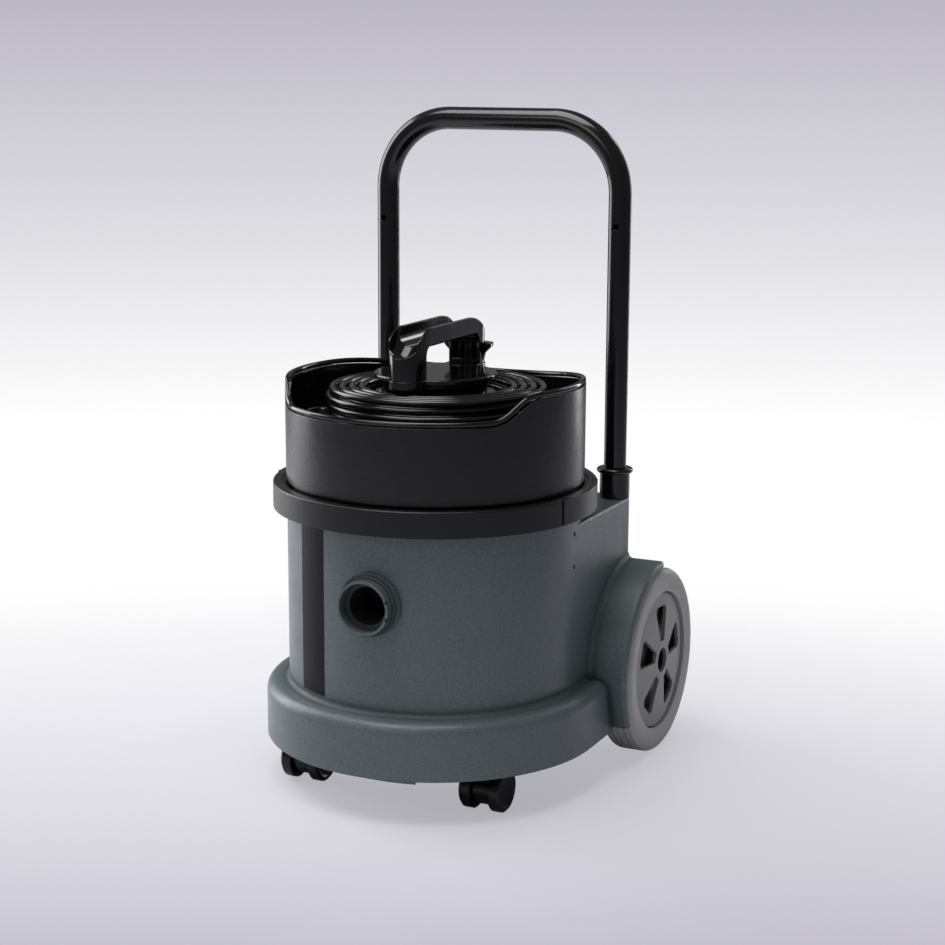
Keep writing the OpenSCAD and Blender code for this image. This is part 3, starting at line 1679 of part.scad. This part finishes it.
module gland_stem(r, low, h) {
    at_gland() translate([gland_stem_x, -gland_l - gland_block[1] / 2, low - coil_z])
        cylinder(r = r, h = h);
}

module cord_gland() {
    under = gutter_z - bowl_wall - clear;
    color([0.06, 0.06, 0.06]) place() {
        at_gland() difference() {
            union() {
                rotate([90, 0, 0]) cylinder(r1 = cord_d / 2 + 1, r2 = 6.2, h = gland_l + 1);
                translate([-7, -gland_l - gland_block[1], -cord_d / 2]) cube(gland_block);
            }
            translate([-20, -2 * gland_l, -cord_d / 2 - 20]) cube([40, 2 * gland_l + 1, 20]);
        }
        gland_stem(gland_stem_r, under - gland_nut_t - 2, hub_z + 1 - under + gland_nut_t + 2);
        gland_stem(gland_stem_r + 3, under - gland_nut_t, gland_nut_t);
    }
}

tub();
label_band();
inlet_collar();
inlet_seal();
inlet_nut();
push_handle();
handle_socket_left();
handle_socket_right();
handle_bolts();
axle();
axle_caps();
caster_sockets();
tyre_left();
tyre_right();
rim_left();
rim_right();
wheel_core_left();
wheel_core_right();
caster_body_left();
caster_body_right();
caster_pin_left();
caster_pin_right();
caster_wheel_left_a();
caster_wheel_left_b();
caster_wheel_right_a();
caster_wheel_right_b();
clamp_ring();
latch_left();
latch_right();
latch_pins();
motor_deck();
head_seal();
filter_ring();
filter_cloth();
fan_case();
motor_body();
motor_mount();
fan();
armature();
exhaust_foam();
cowl();
cable_bowl();
bowl_edge();
bowl_screws();
cable_hub();
hub_disc();
hub_screws();
carry_handle();
switch_bezel();
switch_rocker();
cord_coil();
cord_tail();
cord_gland();
plug_body();
plug_relief();
plug_pins();
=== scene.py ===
"""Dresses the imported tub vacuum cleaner: finishes, mains cord, rolled bowl edge and studio."""
import json
import math

import bmesh
import bpy
from mathutils import Matrix, Vector


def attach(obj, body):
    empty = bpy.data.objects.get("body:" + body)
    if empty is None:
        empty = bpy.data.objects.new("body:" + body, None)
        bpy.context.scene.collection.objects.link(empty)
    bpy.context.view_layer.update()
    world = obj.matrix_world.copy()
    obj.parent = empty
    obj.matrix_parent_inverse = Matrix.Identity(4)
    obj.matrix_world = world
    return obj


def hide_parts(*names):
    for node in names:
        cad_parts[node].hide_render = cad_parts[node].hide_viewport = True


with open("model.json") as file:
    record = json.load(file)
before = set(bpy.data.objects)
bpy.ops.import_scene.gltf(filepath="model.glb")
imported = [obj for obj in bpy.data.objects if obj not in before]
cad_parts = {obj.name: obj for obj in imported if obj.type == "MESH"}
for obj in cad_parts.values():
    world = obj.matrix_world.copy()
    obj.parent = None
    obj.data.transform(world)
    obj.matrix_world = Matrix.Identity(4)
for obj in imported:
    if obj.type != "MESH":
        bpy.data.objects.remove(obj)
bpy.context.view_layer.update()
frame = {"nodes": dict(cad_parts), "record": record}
nodes = frame["nodes"]

# ---------- sizes that the source also holds, in metres and degrees ----------

MID_Y = 0.044  # the drum axis lies this far in front of the origin

COWL_R = 0.1632
EDGE_R = 0.003
RIM_FRONT_Z = 0.422
RIM_SIDE_Z = 0.447
RIM_BACK_Z = 0.432
RIM_LOW_ANGLE = 50
RIM_HIGH_ANGLE = 62.5
RIM_FALL_Y = 0.042
RIM_ROUND = 0.018

AXLE_Y = 0.169
AXLE_Z = 0.106

CORD_D = 0.0072
COIL_IN_R = 0.080
COIL_OUT_R = 0.1185
COIL_LAYERS = 4
LAYER_TURNS = 3.625
CLIMB_TURNS = 0.5
LAYER_RISE = 0.0084
COIL_ANGLE = 55
COIL_Z = 0.4079
TAIL_POINTS = [(0.036, 0.118, 0.4325), (0.009, 0.132, 0.4275), (-0.016, 0.1405, 0.419)]
PLUG_ANGLE = 125
PLUG_R = 0.1405
PLUG_Z = 0.4123
PLUG_HALF = 0.017
RELIEF_L = 0.020

# ---------- fineness of the swept pieces ----------

STEPS_A_TURN = 40
STEPS_A_KNOT = 12
CORD_SIDES = 16
EDGE_STEPS = 360
EDGE_SIDES = 20
EDGE_GAP = 0.0001  # the rolled edge is this much thinner than its solid


def drum(x, y, z):
    """A point given from the drum axis, in the part's own frame."""
    return Vector((x, y - MID_Y, z))


# ---------- meshes ----------


def add_object(name, mesh_data):
    obj = bpy.data.objects.new(name, mesh_data)
    bpy.context.scene.collection.objects.link(obj)
    return obj


def sweep(name, path, radius, sides, closed=False):
    """A tube of round section along a path, with its frame carried along without twist."""
    bm = bmesh.new()
    count = len(path)
    across = None
    rings = []
    for i, point in enumerate(path):
        before = path[(i - 1) % count] if closed else path[max(i - 1, 0)]
        after = path[(i + 1) % count] if closed else path[min(i + 1, count - 1)]
        ahead = (after - before).normalized()
        if across is None:
            across = Vector((0, 0, 1)).cross(ahead)
        across = (across - ahead * across.dot(ahead)).normalized()
        up = ahead.cross(across)
        ring = []
        for k in range(sides):
            angle = 2 * math.pi * k / sides
            spoke = math.cos(angle) * across + math.sin(angle) * up
            ring.append(bm.verts.new(point + radius * spoke))
        rings.append(ring)
    for i in range(count if closed else count - 1):
        a, b = rings[i], rings[(i + 1) % count]
        for k in range(sides):
            face = bm.faces.new((a[k], a[(k + 1) % sides], b[(k + 1) % sides], b[k]))
            face.smooth = True
    if not closed:
        bm.faces.new(list(reversed(rings[0])))
        bm.faces.new(rings[-1])
    bmesh.ops.recalc_face_normals(bm, faces=bm.faces)
    mesh = bpy.data.meshes.new(name)
    bm.to_mesh(mesh)
    bm.free()
    return add_object(name, mesh)


# ---------- materials ----------


class Shader:
    """A material's node tree with short calls for its nodes."""

    def __init__(self, name):
        self.material = bpy.data.materials.new(name)
        self.material.use_nodes = True
        self.tree = self.material.node_tree
        self.bsdf = self.tree.nodes["Principled BSDF"]
        self.position = self.node("ShaderNodeTexCoord").outputs["Object"]

    def node(self, kind, **settings):
        """A new node of a kind, with its settings."""
        made = self.tree.nodes.new(kind)
        for key, value in settings.items():
            setattr(made, key, value)
        return made

    def link(self, source, target):
        self.tree.links.new(source, target)

    def noise(self, scale, detail=3.0, roughness=0.5):
        """Noise that is fixed to the object; a higher scale is finer."""
        made = self.node("ShaderNodeTexNoise")
        made.inputs["Scale"].default_value = scale
        made.inputs["Detail"].default_value = detail
        made.inputs["Roughness"].default_value = roughness
        self.link(self.position, made.inputs["Vector"])
        return made.outputs["Fac"]

    def spread(self, source, low, high, start=0.3, end=0.7):
        """The source's values from start to end, mapped to low to high and clamped."""
        made = self.node("ShaderNodeMapRange")
        made.inputs["From Min"].default_value = start
        made.inputs["From Max"].default_value = end
        made.inputs["To Min"].default_value = low
        made.inputs["To Max"].default_value = high
        self.link(source, made.inputs["Value"])
        return made.outputs["Result"]

    def mix(self, amount, first, second):
        """Two colours mixed by an amount; each is a colour or a socket."""
        made = self.node("ShaderNodeMix", data_type="RGBA")
        self.link(amount, made.inputs["Factor"])
        for socket, value in (("A", first), ("B", second)):
            target = [s for s in made.inputs if s.name == socket and s.type == "RGBA"][0]
            if isinstance(value, bpy.types.NodeSocket):
                self.link(value, target)
            else:
                target.default_value = value
        return [s for s in made.outputs if s.type == "RGBA"][0]

    def from_axle(self):
        """Distance of a point of a rear wheel from its axle."""
        offset = self.node("ShaderNodeVectorMath", operation="SUBTRACT")
        offset.inputs[1].default_value = drum(0, AXLE_Y, AXLE_Z)
        self.link(self.position, offset.inputs[0])
        flat = self.node("ShaderNodeVectorMath", operation="MULTIPLY")
        flat.inputs[1].default_value = (0, 1, 1)
        self.link(offset.outputs["Vector"], flat.inputs[0])
        length = self.node("ShaderNodeVectorMath", operation="LENGTH")
        self.link(flat.outputs["Vector"], length.inputs[0])
        return length.outputs["Value"]

    def blend(self, amount, first, second):
        """A socket's value blended toward a plain number."""
        made = self.node("ShaderNodeMix", data_type="FLOAT")
        self.link(amount, made.inputs["Factor"])
        self.link(first, made.inputs["A"])
        made.inputs["B"].default_value = second
        return made.outputs["Result"]


MOTTLE_SCALE = 9
LIGHT_SPECKLE_SCALE = 760
LIGHT_SPECKLE_BAND = (0.52, 0.66)
DARK_SPECKLE_SCALE = 590
DARK_SPECKLE_BAND = (0.55, 0.68)
DARK_SPECKLE_SHARE = 0.7
SPECKLE_DETAIL = 2
SPECKLE_ROUGHNESS = 0.7
GLOSS_SCALE = 38
GLOSS_SPREAD = 0.18
# Painted shade in creases: how dark the colour and how rough the gloss become there, and the
# ambient occlusion values between which it fades in.
CREASE_SHADE = 0.35
CREASE_ROUGHNESS = 0.95
CREASE_OPEN = 0.95
CREASE_SHUT = 0.58
# Painted shade in the axle bore: how dark it is and how softly it fades out.
BORE_SHADE = 0.03
BORE_BLUR = 0.001
GRAIN_HEIGHT = 0.001


def shade(color, factor):
    """The colour made lighter or darker by a factor, with full alpha."""
    return tuple(min(1.0, c * factor) for c in color[:3]) + (1.0,)


def finish(name, color, roughness, grain=900, bump=0.05, mottle=0.08, speckle=0.0, metallic=0.0,
           edge=0.0006, ior=1.5, crease_shade_reach=0.0, bore_shade_radius=0.0):
    """A mottled colour with uneven gloss, fine grain and softened edges, and where asked painted
    shade in creases and in the axle bore.

    edge and the sizes for painted shade are in metres: the rounding of edges, how far painted
    shade reaches from creases over the surface beside them, and the radius round the axle inside
    which the bore is painted dark as shade.
    """
    s = Shader(name)
    patches = s.spread(s.noise(MOTTLE_SCALE), 0, 1)
    base = s.mix(patches, shade(color, 1 - mottle), shade(color, 1 + mottle))
    if speckle:
        light_noise = s.noise(LIGHT_SPECKLE_SCALE, SPECKLE_DETAIL, SPECKLE_ROUGHNESS)
        light_specks = s.spread(light_noise, 0, 1, *LIGHT_SPECKLE_BAND)
        base = s.mix(light_specks, base, shade(color, 1 + speckle))
        dark_noise = s.noise(DARK_SPECKLE_SCALE, SPECKLE_DETAIL, SPECKLE_ROUGHNESS)
        dark_specks = s.spread(dark_noise, 0, 1, *DARK_SPECKLE_BAND)
        base = s.mix(dark_specks, base, shade(color, 1 - speckle * DARK_SPECKLE_SHARE))
    smooth, rough = roughness * (1 - GLOSS_SPREAD), roughness * (1 + GLOSS_SPREAD)
    gloss = s.spread(s.noise(GLOSS_SCALE, 4), smooth, rough)
    # Painted shade: ambient occlusion near creases darkens the colour and roughens the gloss,
    # standing in for the shade that falls there.
    if crease_shade_reach:
        crease_occlusion = s.node("ShaderNodeAmbientOcclusion", samples=8, only_local=True)
        crease_occlusion.inputs["Distance"].default_value = crease_shade_reach
        painted_crease_shade = s.spread(crease_occlusion.outputs["AO"], 1, 0, CREASE_SHUT, CREASE_OPEN)
        base = s.mix(painted_crease_shade, base, shade(color, CREASE_SHADE))
        gloss = s.blend(painted_crease_shade, gloss, CREASE_ROUGHNESS)
    # Painted shade: inside the given radius round the axle the colour is darkened as shade in the
    # deep bore.
    if bore_shade_radius:
        painted_bore_shade = s.spread(s.from_axle(), 1, 0, bore_shade_radius - BORE_BLUR, bore_shade_radius)
        base = s.mix(painted_bore_shade, base, shade(color, BORE_SHADE))
    s.link(base, s.bsdf.inputs["Base Color"])
    s.link(gloss, s.bsdf.inputs["Roughness"])
    s.bsdf.inputs["Metallic"].default_value = metallic
    s.bsdf.inputs["IOR"].default_value = ior
    bevel = s.node("ShaderNodeBevel", samples=4)
    bevel.inputs["Radius"].default_value = edge
    relief = s.node("ShaderNodeBump")
    relief.inputs["Strength"].default_value = bump
    relief.inputs["Distance"].default_value = GRAIN_HEIGHT
    s.link(s.noise(grain, 3), relief.inputs["Height"])
    s.link(bevel.outputs["Normal"], relief.inputs["Normal"])
    s.link(relief.outputs["Normal"], s.bsdf.inputs["Normal"])
    return s.material


GREY_BLUE = (0.088, 0.113, 0.120)

MATERIALS = {
    # The grey-blue body carries painted shade in its creases.
    "body_grey_blue": finish("grained_grey_blue", GREY_BLUE, 0.34, grain=700, bump=0.28,
                             mottle=0.04, speckle=0.45, edge=0.0008, ior=1.45, crease_shade_reach=0.013),
    "cowl_black": finish("satin_black", (0.004, 0.004, 0.0043), 0.28, grain=1200, bump=0.06,
                         edge=0.001, ior=1.45),
    "ring_black": finish("grained_black", (0.004, 0.004, 0.0042), 0.34, grain=900, bump=0.2,
                         speckle=0.3, edge=0.0012, ior=1.4),
    "gloss_black": finish("gloss_black", (0.003, 0.003, 0.0033), 0.10, grain=140, bump=0.02,
                          ior=1.45, edge=0.0012),
    "handle_black": finish("powder_coated_tube", (0.0035, 0.0035, 0.004), 0.16, grain=500,
                           bump=0.04),
    "socket_black": finish("moulded_black", (0.0035, 0.0035, 0.004), 0.22, grain=800, bump=0.06,
                           edge=0.0008),
    "tyre_grey": finish("grey_tyre_rubber", (0.375, 0.368, 0.355), 0.58, grain=1300, bump=0.25,
                        mottle=0.05),
    "rim_grey": finish("grey_rim", (0.215, 0.212, 0.206), 0.42, grain=1000, bump=0.15),
    # The wheel core carries painted shade in its axle bore.
    "core_dark": finish("wheel_core", (0.15, 0.149, 0.145), 0.5, grain=900, bump=0.2,
                        bore_shade_radius=0.02),
    "caster_grey": finish("caster_black", (0.0025, 0.0025, 0.003), 0.26, grain=900, bump=0.06,
                          edge=0.0008, ior=1.35),
    "label_black": finish("label_film", (0.004, 0.004, 0.0045), 0.30, grain=200, bump=0.02,
                          edge=0.0002, ior=1.2),
    "steel": finish("zinc_plated_steel", (0.55, 0.55, 0.57), 0.32, grain=700, bump=0.08,
                    metallic=1.0),
    "seal_rubber": finish("seal_rubber", (0.012, 0.012, 0.012), 0.7, grain=900, bump=0.3),
    "deck_black": finish("deck_black", (0.018, 0.018, 0.019), 0.5, grain=900, bump=0.15),
    "filter_white": finish("filter_cloth", (0.62, 0.58, 0.48), 0.95, grain=1500, bump=0.9,
                           mottle=0.1),
    "cast_alloy": finish("cast_alloy", (0.5, 0.5, 0.52), 0.42, grain=600, bump=0.3, metallic=1.0),
    "copper_brown": finish("varnished_winding", (0.35, 0.13, 0.05), 0.35, grain=1500, bump=0.5,
                           metallic=0.6),
    "foam_grey": finish("open_foam", (0.05, 0.05, 0.05), 0.98, grain=700, bump=1.0),
    "cord_black": finish("cord_sheath", (0.003, 0.003, 0.003), 0.17, grain=700, bump=0.05),
    "plug_black": finish("plug_moulding", (0.009, 0.009, 0.010), 0.38, grain=1100, bump=0.15),
    "pin_brass": finish("plated_pin", (0.68, 0.62, 0.48), 0.22, grain=500, bump=0.05,
                        metallic=1.0),
    "rocker_red": finish("red_rocker", (0.42, 0.014, 0.010), 0.25, grain=700, bump=0.05),
    "bezel_black": finish("switch_bezel", (0.010, 0.010, 0.011), 0.35, grain=1000, bump=0.1),
}

SLOT_OF = {part["node"]: part["material_slot"] for part in frame["record"]["subparts"]}


def dress(obj, slot_name):
    """Gives every material slot of a piece the finish of one slot of the record."""
    if not obj.material_slots:
        obj.data.materials.append(None)
    for slot in obj.material_slots:
        slot.material = MATERIALS[slot_name]


for node_name, node_object in nodes.items():
    dress(node_object, SLOT_OF[node_name])

# ---------- mains cord ----------


def coil_point(turn):
    """The coil winds in and out layer by layer and climbs where it turns back."""
    span = LAYER_TURNS + CLIMB_TURNS
    layer = min(int(turn / span), COIL_LAYERS - 1)
    along = min((turn - layer * span) / LAYER_TURNS, 1)
    climb = max(0, min(1, (turn - layer * span - LAYER_TURNS) / CLIMB_TURNS))
    inward = along if layer % 2 == 0 else 1 - along
    radius = COIL_OUT_R + (COIL_IN_R - COIL_OUT_R) * inward
    angle = math.radians(COIL_ANGLE) + 2 * math.pi * turn
    height = COIL_Z + LAYER_RISE * (layer + climb)
    return drum(radius * math.cos(angle), radius * math.sin(angle), height)


def curve_point(p0, p1, p2, p3, t):
    """A point between p1 and p2 on the smooth curve through four knots."""
    return 0.5 * (2 * p1 + (p2 - p0) * t + (2 * p0 - 5 * p1 + 4 * p2 - p3) * t ** 2
                  + (3 * p1 - p0 - 3 * p2 + p3) * t ** 3)


def tangent(angle):
    """Direction round the drum axis at an angle, counterclockwise from above."""
    turn = math.radians(angle)
    return Vector((-math.sin(turn), math.cos(turn), 0))


def cord_route():
    """The cord's centreline: out of the gland, round the coil, then along the bowl to the plug."""
    turns = COIL_LAYERS * LAYER_TURNS + (COIL_LAYERS - 1) * CLIMB_TURNS
    along = tangent(COIL_ANGLE)
    coil = [coil_point(i / STEPS_A_TURN) for i in range(int(STEPS_A_TURN * turns) + 1)]
    coil[-1].z = COIL_Z + LAYER_RISE * (COIL_LAYERS - 1)
    plug_turn = math.radians(PLUG_ANGLE)
    plug_center = drum(PLUG_R * math.cos(plug_turn), PLUG_R * math.sin(plug_turn), PLUG_Z)
    plug_along = tangent(PLUG_ANGLE)
    relief_start = plug_center - (PLUG_HALF + RELIEF_L) * plug_along
    knots = [coil[-1] + CORD_D * along, coil[-1] + 2 * CORD_D * along]
    knots += [drum(*p) for p in TAIL_POINTS]
    knots += [relief_start - CORD_D * plug_along, relief_start]
    tail = [knots[0]]
    for i in range(1, len(knots) - 2):
        tail += [curve_point(*knots[i - 1:i + 3], k / STEPS_A_KNOT) for k in range(STEPS_A_KNOT)]
    tail += knots[-2:]
    return [coil[0] - CORD_D * along] + coil + tail


def add_cord():
    route = cord_route()
    piece = sweep("mains_cord", route, CORD_D / 2, CORD_SIDES)
    dress(piece, "cord_black")
    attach(piece, "head")
    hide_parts("cord_coil", "cord_tail")


# ---------- rolled edge of the bowl ----------


def front_rim(u):
    """Height of the rim's front half at a distance u from the middle.

    It is low in the middle, rises in a straight slope between two bends and is high at the side.
    """
    low_x = COWL_R * math.sin(math.radians(RIM_LOW_ANGLE))
    high_x = COWL_R * math.sin(math.radians(RIM_HIGH_ANGLE))
    slope = math.atan2(RIM_SIDE_Z - RIM_FRONT_Z, high_x - low_x)
    low_bend = low_x - RIM_ROUND * math.tan(slope / 2)
    high_bend = high_x + RIM_ROUND * math.tan(slope / 2)
    low_r, high_r = RIM_ROUND + EDGE_R, RIM_ROUND - EDGE_R
    if u < low_bend:
        return RIM_FRONT_Z - EDGE_R
    if u < low_bend + low_r * math.sin(slope):
        return RIM_FRONT_Z + RIM_ROUND - math.sqrt(low_r ** 2 - (u - low_bend) ** 2)
    if u < high_bend - high_r * math.sin(slope):
        return RIM_FRONT_Z - EDGE_R + (u - low_x - EDGE_R * math.tan(slope / 2)) * math.tan(slope)
    if u < high_bend:
        return RIM_SIDE_Z - RIM_ROUND + math.sqrt(high_r ** 2 - (high_bend - u) ** 2)
    return RIM_SIDE_Z - EDGE_R


def rim_height(angle):
    """Height of the rim's centreline at an angle from the front."""
    turn = math.radians(angle)
    x, y = COWL_R * math.sin(turn), -COWL_R * math.cos(turn)
    if abs(angle) < 90:
        return front_rim(abs(x))
    if y < RIM_FALL_Y:
        return RIM_SIDE_Z - EDGE_R
    drop = RIM_SIDE_Z - RIM_BACK_Z
    bow = ((COWL_R - RIM_FALL_Y) ** 2 + drop ** 2) / (2 * drop)
    return RIM_SIDE_Z - bow + math.sqrt(bow ** 2 - (y - RIM_FALL_Y) ** 2) - EDGE_R


def add_bowl_edge():
    path = []
    for step in range(EDGE_STEPS):
        angle = 360 * step / EDGE_STEPS - 180
        turn = math.radians(angle)
        radius = COWL_R - EDGE_R
        path.append(drum(radius * math.sin(turn), -radius * math.cos(turn), rim_height(angle)))
    piece = sweep("rolled_bowl_edge", path, EDGE_R - EDGE_GAP, EDGE_SIDES, closed=True)
    dress(piece, "gloss_black")
    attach(piece, "head")
    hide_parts("bowl_edge")


add_cord()
add_bowl_edge()

# ---------- stage, lights and camera ----------

AIM = Vector((0, 0, 0.36))
CAMERA_AT = Vector((0.9568, -1.9797, 0.7804))
CAMERA_TURN = 25.23
CAMERA_DIP = 11.58
CAMERA_ROLL = 0.30
CAMERA_LENS = 76.6


def add_camera():
    data = bpy.data.cameras.new("camera")
    data.lens = CAMERA_LENS
    data.sensor_width = 36
    data.clip_end = 60
    camera = bpy.data.objects.new("camera", data)
    bpy.context.scene.collection.objects.link(camera)
    turn = Matrix.Rotation(math.radians(CAMERA_TURN), 4, "Z")
    dip = Matrix.Rotation(math.radians(90 - CAMERA_DIP), 4, "X")
    roll = Matrix.Rotation(math.radians(CAMERA_ROLL), 4, "Z")
    camera.matrix_world = Matrix.Translation(CAMERA_AT) @ turn @ dip @ roll
    bpy.context.scene.camera = camera


def add_light(name, place, size, power):
    data = bpy.data.lights.new(name, "AREA")
    data.shape = "RECTANGLE"
    data.size, data.size_y = size
    data.energy = power
    light = bpy.data.objects.new(name, data)
    light.location = place
    light.visible_camera = False
    light.rotation_euler = (AIM - Vector(place)).to_track_quat("-Z", "Y").to_euler()
    bpy.context.scene.collection.objects.link(light)


# Each light's name, place, width and height, and power in watts.
LIGHTS = (("top_softbox", (-0.3, -0.5, 2.4), (1.6, 1.6), 46),
          ("front_softbox", (-0.5, -2.7, 1.9), (1.6, 1.0), 10),
          ("left_softbox", (-2.0, 0.15, 1.0), (1.2, 1.9), 36),
          ("right_strip", (0.68, 2.05, 0.9), (0.28, 1.8), 10))

# Backdrop colours by the steepness of the sight line: 0 is straight down, 1 is straight up.
BACKDROP = ((0.285, (0.50, 0.48, 0.565)), (0.340, (0.78, 0.77, 0.82)), (0.373, (1, 1, 1)),
            (0.414, (1, 1, 1)), (0.455, (0.75, 0.74, 0.78)), (0.515, (0.49, 0.47, 0.55)))

FLOOR_HALF = 14
FLOOR_COLOR = (0.70, 0.69, 0.75, 1)
FADE_START = 0.25
FADE_END = 0.75
FADE_LEAST = 0.6
FILL_COLOR = (0.95, 0.95, 0.97, 1)
FILL_STRENGTH = 0.18


def add_stage():
    """A pale floor that fades into the backdrop away from the object and keeps its shadow."""
    bm = bmesh.new()
    for side_x, side_y in ((-1, -1), (1, -1), (1, 1), (-1, 1)):
        bm.verts.new((side_x * FLOOR_HALF, side_y * FLOOR_HALF, 0))
    bm.faces.new(bm.verts)
    mesh = bpy.data.meshes.new("floor")
    bm.to_mesh(mesh)
    bm.free()
    floor = add_object("floor", mesh)
    s = Shader("pale_floor")
    s.bsdf.inputs["Base Color"].default_value = FLOOR_COLOR
    s.bsdf.inputs["Roughness"].default_value = 0.75
    s.bsdf.inputs["Specular IOR Level"].default_value = 0.1
    reach = s.node("ShaderNodeVectorMath", operation="LENGTH")
    s.link(s.position, reach.inputs[0])
    fade = s.spread(reach.outputs["Value"], FADE_LEAST, 1, FADE_START, FADE_END)
    seen = s.node("ShaderNodeLightPath").outputs["Is Camera Ray"]
    amount = s.node("ShaderNodeMath", operation="MULTIPLY")
    s.link(fade, amount.inputs[0])
    s.link(seen, amount.inputs[1])
    clear = s.node("ShaderNodeBsdfTransparent")
    mix = s.node("ShaderNodeMixShader")
    s.link(amount.outputs[0], mix.inputs[0])
    s.link(s.bsdf.outputs[0], mix.inputs[1])
    s.link(clear.outputs[0], mix.inputs[2])
    s.link(mix.outputs[0], s.tree.nodes["Material Output"].inputs["Surface"])
    floor.data.materials.append(s.material)


def set_world():
    """Soft even fill on the object, with a graded pale backdrop for the camera."""
    world = bpy.data.worlds.new("studio")
    bpy.context.scene.world = world
    world.use_nodes = True
    tree = world.node_tree
    fill = tree.nodes["Background"]
    fill.inputs["Color"].default_value = FILL_COLOR
    fill.inputs["Strength"].default_value = FILL_STRENGTH
    ray = tree.nodes.new("ShaderNodeTexCoord")
    split = tree.nodes.new("ShaderNodeSeparateXYZ")
    tree.links.new(ray.outputs["Generated"], split.inputs[0])
    height = tree.nodes.new("ShaderNodeMapRange")
    height.inputs["From Min"].default_value = -1
    height.inputs["From Max"].default_value = 1
    tree.links.new(split.outputs["Z"], height.inputs["Value"])
    ramp = tree.nodes.new("ShaderNodeValToRGB")
    ramp.color_ramp.elements[0].position = BACKDROP[0][0]
    ramp.color_ramp.elements[1].position = BACKDROP[-1][0]
    for place, _ in BACKDROP[1:-1]:
        ramp.color_ramp.elements.new(place)
    for element, (_, tint) in zip(ramp.color_ramp.elements, BACKDROP):
        element.color = (*tint, 1)
    tree.links.new(height.outputs["Result"], ramp.inputs["Fac"])
    backdrop = tree.nodes.new("ShaderNodeBackground")
    tree.links.new(ramp.outputs["Color"], backdrop.inputs["Color"])
    seen = tree.nodes.new("ShaderNodeLightPath").outputs["Is Camera Ray"]
    mix = tree.nodes.new("ShaderNodeMixShader")
    tree.links.new(seen, mix.inputs[0])
    tree.links.new(fill.outputs[0], mix.inputs[1])
    tree.links.new(backdrop.outputs[0], mix.inputs[2])
    tree.links.new(mix.outputs[0], tree.nodes["World Output"].inputs["Surface"])


add_camera()
for light in LIGHTS:
    add_light(*light)
add_stage()
set_world()
bpy.context.scene.view_settings.view_transform = "Standard"
